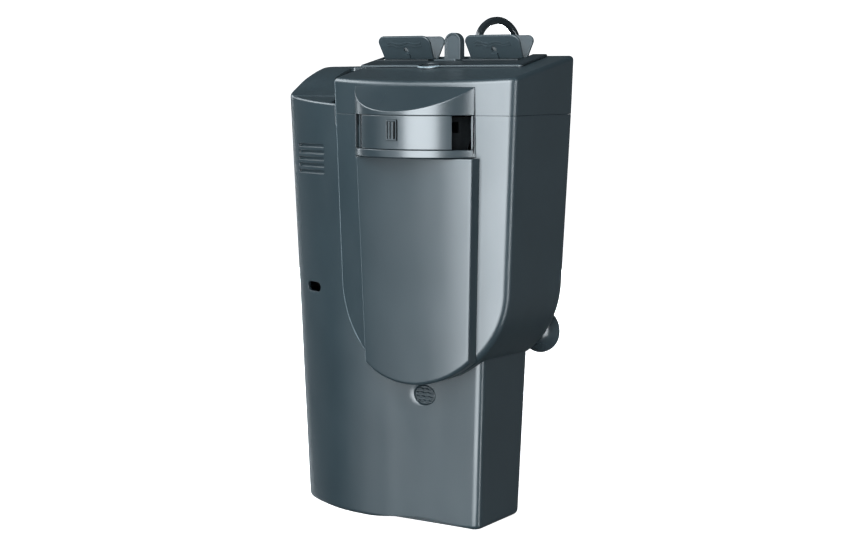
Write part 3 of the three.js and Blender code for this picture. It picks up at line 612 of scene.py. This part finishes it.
def housing():
    body = cut(housing_solid(0, 0, 292), bay_roof(0))
    edit(body, lambda bm: bmesh.ops.remove_doubles(
        bm, verts=[v for v in bm.verts if v.co.z > 250], dist=0.9))
    round_edges(body, 1.4, lambda m, a, b: m.z > 200 and between(
        a, b, lambda n: n.z > 0.6, lambda n: abs(n.z) < 0.2), 5)
    beside = loft([[(x, y, z) for x, z in hood_section(y, -0.4)] for y in (-60, 60)])
    body = cut(body, common(beside, box(-120, 120, -60, 80, HOUSING["top"], 320)))
    chamber = housing_solid(WALL, 3, 320)
    wall_left = BAY_RIGHT - BAY_DIVIDER
    bay = cut(common(housing_solid(WALL, 3, 320), box(-120, wall_left, -60, 80, 0, 320)),
              bay_roof(BAY_PLATE))
    hollow = common(chamber, box(BAY_RIGHT, 120, -60, 80, 0, 320))
    body = cut(body, bay, hollow, upright(rounded(-70, -51, 18, 40, 2.5), 262, 300))
    louvres = [cut(frontal(rounded(-79.6, -52, 235 - 4.2 * i, 237 - 4.2 * i, 0.9), -40, 0),
                   housing_solid(1.3, 200, 260)) for i in range(5)]
    flow_hole = frontal(rounded(-72.5, -58, 141, 147.3, 3.1), -30, 5)
    passages = [box(wall_left - 2, BAY_RIGHT + 2, -4, 28, 14 + 9 * i, 19 + 9 * i) for i in range(4)]
    pump_cut = box(-2, 48, -60, -5, 142, 320)
    mouth = box(-17, 64, -60, -5, 231, 320)
    arch = [(-22 + 88 * i / 40, 1.8 * (1 - math.cos(math.tau * i / 40))) for i in range(41)]
    arch = frontal([(66, -3), *arch[::-1], (-22, -3)], -27, -13)
    button = dimple(CATCH["x"], CATCH["z"], CATCH["width"] / 2 + 0.15, CATCH["height"] / 2 + 0.15,
                    CATCH["skin"], 1.5)
    necks = [lathe([(0, 30), (3.3, 30), (3.3, 60), (0, 60)], (x, 0, z), "y", 32)
             for x, z in CUPS[2:]]
    body = cut(body, *louvres, flow_hole, *passages, pump_cut, mouth, arch, button, *necks)
    return finish(body, "housing_body", ["housing"], "root", "shell_slate", 0.4, 3)


def heater_clips():
    for name, z in (("lower", 80), ("upper", 200)):
        ring = (arc(-61.5, 25.2, 12.5, -140, 140, 40) + arc(-61.5, 25.2, 10.7, 140, -140, 40))
        band = join(upright(ring, z, z + 6), box(-50.6, -49.3, 22.2, 28.2, z, z + 6))
        finish(band, f"heater_clip_{name}_ring", [f"heater_clip_{name}"], "root", "shell_dark", 0.3)


# ---- hood -----------------------------------------------------------------------
HOOD = {"x": 25.1, "half": 64.9, "corner_y": -22, "bulge": 10, "lean": 0.015, "front_z": 250,
        "side_draft": 0.04, "taper": 0.038, "shoulder_z": 153, "bottom_z": 92, "seam_z": 257,
        "roof_z": 279.4, "roof_slope": 0.205}


def hood_half(z, y):
    return (HOOD["half"] + HOOD["taper"] * (z - HOOD["front_z"])
            + HOOD["side_draft"] * (y - HOOD["corner_y"]))


def hood_front(x, z):
    """Y of the hood's bulging front."""
    lean = HOOD["lean"] * (HOOD["front_z"] - z)
    return HOOD["corner_y"] + lean - HOOD["bulge"] * (1 - ((x - HOOD["x"]) / HOOD["half"]) ** 2)


def hood_section(y, inset, reach=0.0, reach_left=None):
    """The hood's U-shaped outline at depth y; reach moves it inward on the front, from
    reach_left at its left side to reach at its right."""
    steps = 56
    x0, z0 = HOOD["x"], HOOD["shoulder_z"]
    away = inset + reach
    away_left = away if reach_left is None else inset + reach_left
    heights = (170, 190, 210, 228, 246, 266, 300)
    ring = [(x0 + max(hood_half(z, y) - away, 0.4), z) for z in heights]
    ring += [(x0 - max(hood_half(z, y) - away_left, 0.4), z) for z in heights[::-1]]
    for i in range(steps + 1):
        a = math.pi + math.pi * i / steps
        here = away_left + (away - away_left) * fillet_share(math.cos(a))
        ring.append((x0 + max(hood_half(z0, y) - here, 0.4) * math.cos(a),
                     z0 + max(z0 - HOOD["bottom_z"] - here, 0.4) * math.sin(a)))
    return ring


def fillet_share(across):
    """How far round the bottom a place is, from 0 at the left side to 1 at the right."""
    return math.sqrt(max(0, min(1, (1 + across) / 2)))


def hood_solid(inset, fillet, rear_inset, top_inset):
    """The hood without its openings: a rounded edge runs from its side into its front."""
    rings = []
    corner = 3.6 if rear_inset == 0 else 1.5
    for i in range(7):
        a = math.radians(90 * i / 6)
        back = rear_inset + corner * (1 - math.sin(math.pi / 2 - a))
        rings.append([(x, HOUSING["back"] + HOUSING["draft"] * min(z, HOOD["seam_z"]) - back, z)
                      for x, z in hood_section(42, inset + corner * (1 - math.sin(a)))])
    for y in (28, 14, 0, -10):
        rings.append([(x, y, z) for x, z in hood_section(y, inset)])
    tight = min(fillet, 1.4)
    for i in range(8):
        a = math.radians(90 * i / 7)
        inward = 1 - math.cos(a)
        ring = hood_section(HOOD["corner_y"], inset, fillet * inward, tight * inward)
        placed = []
        for x, z in ring:
            share = (fillet_share((x - HOOD["x"]) / 61.0) if z < HOOD["shoulder_z"]
                     else float(x > HOOD["x"]))
            radius = tight + (fillet - tight) * share
            placed.append((x, hood_front(x, z) + inset + radius * (1 - math.sin(a)), z))
        rings.append(placed)
    for reach in (7, 11, 15, 20, 25, 30, 35, 40, 45, 50, 55, 59):
        rings.append([(x, hood_front(x, z) + inset, z)
                      for x, z in hood_section(HOOD["corner_y"], inset, reach)])
    solid = loft(rings)
    slope, y0 = HOOD["roof_slope"], HOOD["corner_y"]
    low = HOOD["roof_z"] - top_inset
    roof = sideways([(-90, low + slope * (-90 - y0)), (90, low + slope * (90 - y0)), (90, 350),
                     (-90, 350)], -120, 160)
    return cut(solid, roof)


def roof_at(y):
    return HOOD["roof_z"] + HOOD["roof_slope"] * (y - HOOD["corner_y"])


LID = {"left": -43.4, "right": 77, "front": 9.5, "arms": 23, "back": 43.6, "proud": 1.2}
MOUTH = (-20.8, 64)


def left_edge_highlight_faces(middle, normal):
    """The narrow turn of a front piece's left edge, which gets a painted highlight."""
    return middle.y < -0.02 and normal.x < -0.42 and normal.y < -0.2 and abs(normal.z) < 0.5


def hood_pieces():
    for lower in (True, False):
        shell = hood_solid(0, 4.3, 0, 0)
        round_edges(shell, 2.9, lambda m, a, b: m.z > 272 and between(
            a, b, lambda n: n.z > 0.9, lambda n: abs(n.z) < 0.3), 6)
        shell = cut(shell, hood_solid(WALL, 2.4, WALL, WALL))
        shell = cut(shell, housing_solid(-0.4, 0, HOUSING["top"] + 0.4))
        if lower:
            shell = common(shell, box(-120, 120, -60, 80, 80, HOOD["seam_z"] - 0.08))
            shell = cut(shell, box(-12, 58, -60, -10, 135, 231), box(*MOUTH, -60, -12, 230, 262))
            shell = finish(shell, "hood_lower_shell", ["hood_shell"], "root", "shell_slate", 0.25, 3)
            # Painted highlight: the left edge's fillet is coloured light grey.
            paint(shell, "painted_highlight_edge", left_edge_highlight_faces)
            continue
        shell = common(shell, box(-120, 120, -60, 80, HOOD["seam_z"] + 0.08, 320))
        opening = upright(rounded(LID["left"] + 2.4, LID["right"] - 3, LID["front"] + 3,
                                  LID["back"] - 1, 2), 240, 320)
        shell = cut(shell, box(*MOUTH, -60, -20, 250, 262), opening)
        x, y, _ = CORD_EXIT
        boss = cut(upright(rounded(x - 5.2, x + 5.2, 42, 54.5, 2.5), 268, 290.5),
                   box(x - 9, x + 9, 40, 44.8, 250, 300))
        shell = cut(join(shell, boss), rod(3.9, 250, 320, x, y), box(x - 3.3, x + 3.3, 43, y, 250, 270.5))
        shell = finish(shell, "hood_top_cap", ["hood_cap"], "root", "shell_slate", 0)
        # Painted highlight: the left edge's fillet is coloured light grey.
        paint(shell, "painted_highlight_edge", left_edge_highlight_faces)


def roof_plate(x0, x1, y0, y1, low, high):
    return sideways([(y0, roof_at(y0) + low), (y1, roof_at(y1) + low), (y1, roof_at(y1) + high),
                     (y0, roof_at(y0) + high)], x0, x1)


def lid():
    plate = roof_plate(LID["left"], LID["right"], LID["front"], LID["back"], GAP, GAP + LID["proud"])
    plan = upright(rounded(LID["left"], LID["right"], LID["front"], LID["back"], 2.5), 240, 330)
    tongue = common(roof_plate(-5, 25, -2, 20, GAP, GAP + LID["proud"]),
                    upright(ellipse(10, LID["front"] + 1, 8.5, 6.5, 60), 240, 330))
    plate = join(common(plate, plan), tongue)
    round_edges(plate, 0.9, lambda m, a, b: between(a, b, lambda n: n.z > 0.8, lambda n: abs(n.z) < 0.4))
    inserts = upright(rounded(GRIPS["left"] - 20.6, GRIPS["right"] + 20.6, LID["arms"], 90, 2), 240, 330)
    notch = common(roof_plate(-5, 25, 2, 20, GAP + 0.6, GAP + 3),
                   upright(ellipse(10, LID["front"] + 2.6, 6.6, 5, 60), 240, 330))
    plate = cut(plate, inserts, notch)
    for x in (-42, 68.5):
        ridge = roof_plate(x, x + 6.5, 27, 40, 0.9, 1.9)
        plate = join(plate, common(ridge, upright(rounded(x, x + 6.5, 27, 40, 1.6), 240, 330)))
    plate = finish(plate, "lid_plate", ["lid"], "lid", "shell_dark", 0)
    # Painted highlight: the lid's front-facing faces take the lighter handle grey as a light line along
    # its front edge.
    paint(plate, "handle_grey", lambda middle, normal: normal.y < -0.35 and middle.y < 0.0102)
    # Painted highlight: the tongue's front fillet takes the light highlight grey.
    paint(plate, "painted_highlight_edge", lambda middle, normal: (
        normal.y < -0.3 and normal.z > 0.2 and middle.y < 0.0094))


# ---- outlet ---------------------------------------------------------------------
BARREL = {"x": 23.5, "y": -4.4, "radius": 49.7, "ring_z": 232, "window_z": 236.6,
          "window_top": 257.2, "apex_top": 259.4, "slope": 0.706, "curve": 0.0018,
          "half_chord": 45.1}
SHUTTER = {"half": 38.2, "middle": 5.8, "knob_turn": 0.7}


def above_slant(offset):
    """Everything above the barrel's slanted top, which falls away a little to both sides."""
    apex = BARREL["y"] - BARREL["radius"]
    rings = []
    for across in range(-80, 81, 4):
        low = BARREL["apex_top"] + offset - BARREL["curve"] * across ** 2
        rings.append([(BARREL["x"] + across, y, z) for y, z in (
            (-80, low + BARREL["slope"] * (-80 - apex)), (60, low + BARREL["slope"] * (60 - apex)),
            (60, 420), (-80, 420))])
    return loft(rings)


def behind_front(offset, z0=70, z1=300):
    """Everything behind the hood's front, moved backward by offset."""
    xs = [-55 + 4 * i for i in range(41)]
    rings = []
    for z in (z0, z1):
        ring = [(x, hood_front(x, z) + offset, z) for x in xs]
        rings.append(ring + [(xs[-1], 90, z), (xs[0], 90, z)])
    return loft(rings)


def sector(inner, outer, z0, z1, half, middle=0.0, steps=64):
    x, y = BARREL["x"], BARREL["y"]
    outline = (arc(x, y, outer, -90 + middle - half, -90 + middle + half, steps)
               + arc(x, y, inner, -90 + middle + half, -90 + middle - half, steps))
    return upright(outline, z0, z1)


def barrel():
    x, y, radius = BARREL["x"], BARREL["y"], BARREL["radius"]

    inner = cut(rod(radius - WALL, BARREL["ring_z"] + WALL, 290, x, y, 256), above_slant(-WALL))
    solid = cut(rod(radius, BARREL["ring_z"], 290, x, y, 256), above_slant(0), inner)
    solid = cut(solid, behind_front(-GAP))
    chord = BARREL["half_chord"]
    solid = common(solid, box(x - chord, x + chord, -80, 20, 0, 300))
    solid = cut(solid, sector(radius - 8, radius + 4, BARREL["window_z"], BARREL["window_top"], 62, -2))
    solid = join(solid, box(x - 44, x - 42, y - 20, y - 4, BARREL["ring_z"] + 1, BARREL["window_top"]))
    drum = finish(solid, "outlet_drum", ["outlet_barrel"], "root", "outlet_gloss", 0.5, 3)
    axis = Vector((x, y, 0)) * MM

    # Painted shade: the drum's inner faces below the window top are made near-black.
    def shade_inner_faces(middle, normal):
        out = Vector((middle.x - axis.x, middle.y - axis.y, 0))
        return normal.dot(out.normalized()) < 0.3 and out.length < (radius - 0.8) * MM and (
            middle.z < BARREL["window_top"] * MM + 0.001)
    paint(drum, "inner_shade", shade_inner_faces)
    paint(drum, "shell_slate", lambda middle, normal: normal.z > 0.5 and middle.z > 0.2585)


def shutter():
    x, radius = BARREL["x"], BARREL["radius"]
    low, high = BARREL["window_z"], BARREL["window_top"]
    apex = BARREL["y"] - radius
    z = (low + high) / 2 + 1.5

    def turned(shape):
        centre = Matrix.Translation((x, BARREL["y"], 0))
        shape.data.transform(centre @ Matrix.Rotation(math.radians(SHUTTER["knob_turn"]), 4, "Z")
                             @ centre.inverted())
        return shape
    spread = (SHUTTER["half"], SHUTTER["middle"])
    face = sector(radius - WALL - 0.4, radius - 0.1, low + 0.3, high - 0.15, *spread)
    flange = sector(radius - WALL - 2.0, radius - WALL - 0.35, low - 1.6, high - 0.4, *spread)
    recess = turned(box(x - 3.9, x + 3.9, apex - 3, apex + 1.2, z - 6, z + 6))
    door = finish(cut(join(face, flange), recess), "shutter_door", [], "shutter", "outlet_gloss",
                  0.45, 3)
    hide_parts("flow_shutter")
    knob = cut(box(x - 4, x + 4, apex - 0.6, apex + 2, z - 6.15, z + 6.15),
               box(x - 3, x + 3, apex - 3, apex + 0.9, z - 5.2, z + 5.2))
    for left, right in ((-2.4, -1.1), (-0.3, 1.5)):
        knob = join(knob, box(x + left, x + right, apex - 0.3, apex + 2, z - 5.4, z + 5.4))
    grip = finish(turned(knob), "shutter_grip", [], "shutter", "outlet_gloss", 0.18, 2)
    # Painted shade: the recess floor and the frame's right side are made near-black, as if in shadow.
    paint(grip, "inner_shade", lambda middle, normal: middle.y > (apex - 0.25) * MM or (
        abs(middle.x - x * MM) > 3.1 * MM and middle.x > x * MM))


# ---- front panel ----------------------------------------------------------------
PANEL = {"rise": 9, "top": (-13.3, 69.4), "bottom": (-8, 66.5), "top_z": 231.6}


def panel_solid(inset, back):
    """The raised panel: columns run from its round bottom to its top."""
    half = hood_half(HOOD["shoulder_z"], -30)
    drop = HOOD["shoulder_z"] - HOOD["bottom_z"]
    columns, rows = 30, 10
    front = []
    for i in range(columns + 1):
        u = i / columns
        x0 = PANEL["bottom"][0] + inset + (PANEL["bottom"][1] - PANEL["bottom"][0] - 2 * inset) * u
        x1 = PANEL["top"][0] + inset + (PANEL["top"][1] - PANEL["top"][0] - 2 * inset) * u
        z0 = HOOD["shoulder_z"] - drop * math.sqrt(1 - ((x0 - HOOD["x"]) / half) ** 2) + inset
        z1 = PANEL["top_z"] - inset
        front.append([(x0 + (x1 - x0) * k / rows, z0 + (z1 - z0) * k / rows)
                      for k in range(rows + 1)])
    points, faces = [], []
    for offset in (inset - PANEL["rise"], back):
        for column in front:
            points += [(x, hood_front(x, z) + offset, z) for x, z in column]
    tall, layer = rows + 1, (columns + 1) * (rows + 1)
    for i in range(columns):
        for k in range(rows):
            a = i * tall + k
            square = [a, a + tall, a + tall + 1, a + 1]
            faces += [square, [p + layer for p in square[::-1]]]
    rim = ([i * tall for i in range(columns + 1)]
           + [columns * tall + k for k in range(1, tall)]
           + [i * tall + rows for i in range(columns - 1, -1, -1)]
           + [k for k in range(rows - 1, 0, -1)])
    for a, b in zip(rim, rim[1:] + rim[:1]):
        faces.append([a, b, b + layer, a + layer])
    return mesh_object("panel", points, faces)


def front_panel():
    panel = panel_solid(0, 3)
    round_edges(panel, 2.6, lambda m, a, b: m.z < 130 and m.y < hood_front(m.x, m.z) - 4 and between(
        a, b, lambda n: n.y < -0.8, lambda n: n.z < -0.4), 5)
    round_edges(panel, 0.8, lambda m, a, b: m.y < hood_front(m.x, m.z) - 4 and between(
        a, b, lambda n: n.y < -0.7, lambda n: abs(n.x) > 0.9 or n.z > 0.8), 4)
    panel = cut(panel, behind_front(-GAP), cut(panel_solid(WALL, 5), box(-50, 90, 0, 9, 60, 260)))
    cover = finish(panel, "front_panel_cover", ["front_panel"], "root", "shell_slate", 0.15, 2)
    # Painted highlight: the panel's left edge fillet is coloured light grey.
    paint(cover, "painted_highlight_edge", left_edge_highlight_faces)


def catch():
    x, z, front = CATCH["x"], CATCH["z"], CATCH["skin"] + 0.9
    face = frontal(ellipse(x, z, CATCH["width"] / 2, CATCH["height"] / 2), front, -15.4)
    flange = frontal(ellipse(x, z, CATCH["width"] / 2 + 1.8, CATCH["height"] / 2 + 1.8), -15.5, -13.6)
    button = join(face, flange)
    for i in range(4):
        rz = z + (i - 1.5) * 2.5
        half = 6.8 - 0.9 * abs(i - 1.5)
        top = [(x + half * (k / 10 - 1), rz + 0.45 + 0.3 * math.sin(0.9 * k + i)) for k in range(21)]
        low = [(px, pz - 0.9) for px, pz in reversed(top)]
        button = join(button, frontal(top + low, front - 1.3, front + 0.3))
    finish(button, "catch_button", ["hood_catch"], "catch", "shell_slate", 0.3, 3)


# ---- lift-out inserts -----------------------------------------------------------
INSERT_TOP = 291
GRIPS = {"left": -20.2, "right": 45.8}


def handle_leaf(x, sign):
    """One leaf of a finger grip: rounded, leaning away from its twin."""
    half, height, thick, r = 39.6 / 2, 17, 1.8, 5
    outline = [(-half + 1, 0), (half - 1, 0)]
    outline += arc(half - r, height - r, r, 0, 90, 12)
    outline += arc(-half + r, height - r, r, 90, 180, 12)
    leaf = frontal(outline, -thick / 2, thick / 2)
    round_edges(leaf, 0.6, lambda m, a, b: m.z > 1, 4)
    leaf = cut(leaf, lathe([(0, -5), (1.9, -5), (1.9, 5), (0, 5)], (0, 0, 7.2), "y", 32))
    outer = sign * thick / 2
    for z, drop in ((12.6, 1.0), (10.6, 0.9)):
        line = [(-13 + 0.65 * k, z + drop * math.sin(0.33 * k) * (1 - k / 60)) for k in range(41)]
        wave = line + [(px, pz - 0.8) for px, pz in reversed(line)]
        leaf = join(leaf, frontal(wave, *sorted((outer - sign * 0.3, outer + sign * 0.4))))
    lug = box(-2.2, 2.2, *sorted((outer - sign * 0.3, outer + sign * 1.1)), 0.4, 4.9)
    leaf = join(leaf, lug)
    tilt = Matrix.Rotation(math.radians(-sign * 30), 4, "X")
    leaf.data.transform(Matrix.Translation((x, 36 + sign * 2.4, INSERT_TOP + 0.2)) @ tilt)
    return cut(leaf, box(-120, 120, -60, 80, 200, INSERT_TOP + GAP))


def grips():
    for side, x in GRIPS.items():
        for end, sign in (("front", -1), ("rear", 1)):
            leaf = handle_leaf(x, sign)
            finish(leaf, f"grip_{side}_{end}", [f"cartridge_{side}_handle_{end}"],
                   f"cartridge_{side}", "handle_grey", 0)


def foam_frame():
    x, half, top = 12.5, 6, 308

    def tab(inset, y0, y1):
        outline = [(x - half + inset, INSERT_TOP - 1), (x + half - inset, INSERT_TOP - 1)]
        outline += arc(x, top - half, half - inset, 0, 180, 28)
        return frontal(outline, y0, y1)
    grip = cut(tab(0, 33.25, 38.75), tab(1.3, 30, 33.9), tab(1.3, 38.1, 42))
    plate_low = INSERT_TOP - 2.4
    plate = upright(rounded(x - 8.5, x + 8.5, 23.8, 41, 1.2), plate_low, INSERT_TOP)
    rails = cut(box(x - 7.5, x + 7.5, 25, 36.4, 160, plate_low + 1),
                box(x - 5.5, x + 5.5, 20, 41, 163, plate_low - 12))
    finish(join(join(plate, rails), grip), "foam_holder", ["foam_frame"], "foam_column",
           "handle_grey", 0.35, 3)


# ---- suction cups ---------------------------------------------------------------
def cups():
    rim, depth = 54.7, 7
    apex = rim - depth
    for i, (x, z) in enumerate(CUPS):
        wall = HOUSING["back"] + HOUSING["draft"] * z
        lower = i < 2
        neck = apex - wall - 1.2 if lower else WALL + 1
        profile = [(0, apex - neck), (2.6, apex - neck), (3, apex - neck + 0.4), (3, apex - 0.3),
                   (3.4, apex), (6, apex)]
        profile += [(6 + 8.4 * t, apex + 0.2 + 5.8 * t ** 1.7) for t in (k / 12 for k in range(1, 13))]
        profile += [(14.8, rim - 0.7), (14.75, rim - 0.1), (14.2, rim), (13.2, rim - 0.05)]
        profile += [(13.2 - 6.6 * t, rim - 0.05 - 4.5 * t ** 0.8) for t in (0.25, 0.5, 0.75, 1)]
        profile += [(4, apex + 2.3), (0, apex + 2.2)]
        cup = lathe(profile, (x, 0, z), "y", 96)
        finish(cup, f"cup_{i + 1}", [f"suction_cup_{i + 1}"], "root", "cup_rubber", 0)
        if lower:
            inward = -1 if i == 0 else 1
            x0, x1 = sorted((x + inward * 13, x - inward * 5))
            pad = frontal(rounded(x0, x1, z - 7, z + 7, 4), wall + 0.8, apex - GAP)
            pad = cut(pad, lathe([(0, 30), (3.3, 30), (3.3, 60), (0, 60)], (x, 0, z), "y", 32))
            finish(pad, f"cup_arm_{i + 1}", [f"cup_bracket_{i + 1}"], "root", "shell_dark", 0.3)


def soften_inner_nodes():
    """CAD nodes that stay get softened edges and a procedural material: their own slot's, except the pump
    parts deep inside, which get near-black painted shade.
    """
    slots = {row["node"]: row["material_slot"] for row in frame["record"]["subparts"]}
    for name, node in frame["nodes"].items():
        if node.hide_render:
            continue
        node.data.materials.clear()
        # Painted shade: the pump parts seen through the openings are made near-black.
        deep_in_shade = name in ("outlet_nozzle", "volute_cover", "motor_housing", "pump_shelf")
        node.data.materials.append(MATERIALS["inner_shade" if deep_in_shade else slots[name]])
        node.modifiers.new("weld", "WELD").merge_threshold = 0.00001
        bevel = node.modifiers.new("edges", "BEVEL")
        bevel.width = 0.0003
        bevel.segments = 2
        bevel.limit_method = "ANGLE"
        bevel.angle_limit = math.radians(50)


# ---- room and lights ------------------------------------------------------------
def stage_material(name, colour, emission=0.0):
    made = bpy.data.materials.new(name)
    made.use_nodes = True
    surface = made.node_tree.nodes["Principled BSDF"]
    surface.inputs["Base Color"].default_value = (*colour, 1)
    surface.inputs["Roughness"].default_value = 0.9
    surface.inputs["Emission Color"].default_value = (*colour, 1)
    surface.inputs["Emission Strength"].default_value = emission
    return made


def softbox(name, azimuth, distance, height, width, tall, power, aim_z=0.16):
    """An area light on a circle round the object; azimuth 0 is in front, 90 at the right."""
    data = bpy.data.lights.new(name, "AREA")
    data.shape = "RECTANGLE"
    data.size, data.size_y = width, tall
    data.energy = power
    data.color = (0.88, 0.95, 1)
    made = bpy.data.objects.new(name, data)
    a = math.radians(azimuth)
    made.location = (distance * math.sin(a), -distance * math.cos(a), height)
    look = Vector((0, 0, aim_z)) - made.location
    made.rotation_euler = look.to_track_quat("-Z", "Y").to_euler()
    made.visible_camera = False
    scene.collection.objects.link(made)
    return made


def stage_ring(name, radius, z0, z1, material):
    made = rod(radius, z0, z1, 0, 0, 96)
    made.data.transform(Matrix.Scale(MM, 4))
    made.name = name
    made.data.materials.append(material)
    made.visible_diffuse = False
    made.visible_glossy = False
    made.visible_shadow = False
    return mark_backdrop(made)


def studio():
    white = (1, 1, 1)
    stage_ring("floor", 6000, -12, -0.4, stage_material("floor_white", white, 1.0))
    stage_ring("far_wall", 5900, -100, 9000, stage_material("wall_white", white, 1.0))
    world = bpy.data.worlds.new("room")
    world.use_nodes = True
    world.node_tree.nodes["Background"].inputs["Color"].default_value = (0.8, 0.92, 1, 1)
    world.node_tree.nodes["Background"].inputs["Strength"].default_value = 0.085
    scene.world = world
    softbox("key", 13, 1.3, 0.45, 1.2, 2.1, 61)
    softbox("fill", -33, 1.3, 0.16, 0.7, 2.4, 3.6)
    softbox("brow", -10, 1.0, 1.2, 1.2, 0.7, 10, 0.25)
    softbox("left_high", -75, 1.2, 1.0, 0.9, 0.6, 9, 0.25)
    softbox("right_back", 147, 1.4, 0.0, 0.9, 1.0, 0.25)
    softbox("edge", 87, 1.3, 0.16, 0.1, 1.6, 8)
    softbox("left", -106, 1.3, 0.16, 0.08, 1.6, 2)
    softbox("rim", -147, 1.4, 0.05, 0.4, 0.7, 22, 0.05)
    top = softbox("overhead", 0, 0.01, 1.9, 1.6, 1.6, 0.8)
    top.rotation_euler = (0, 0, 0)
    scene.view_settings.view_transform = "Standard"


housing()
heater_clips()
hood_pieces()
lid()
barrel()
shutter()
front_panel()
catch()
grips()
foam_frame()
cups()
soften_inner_nodes()
studio()
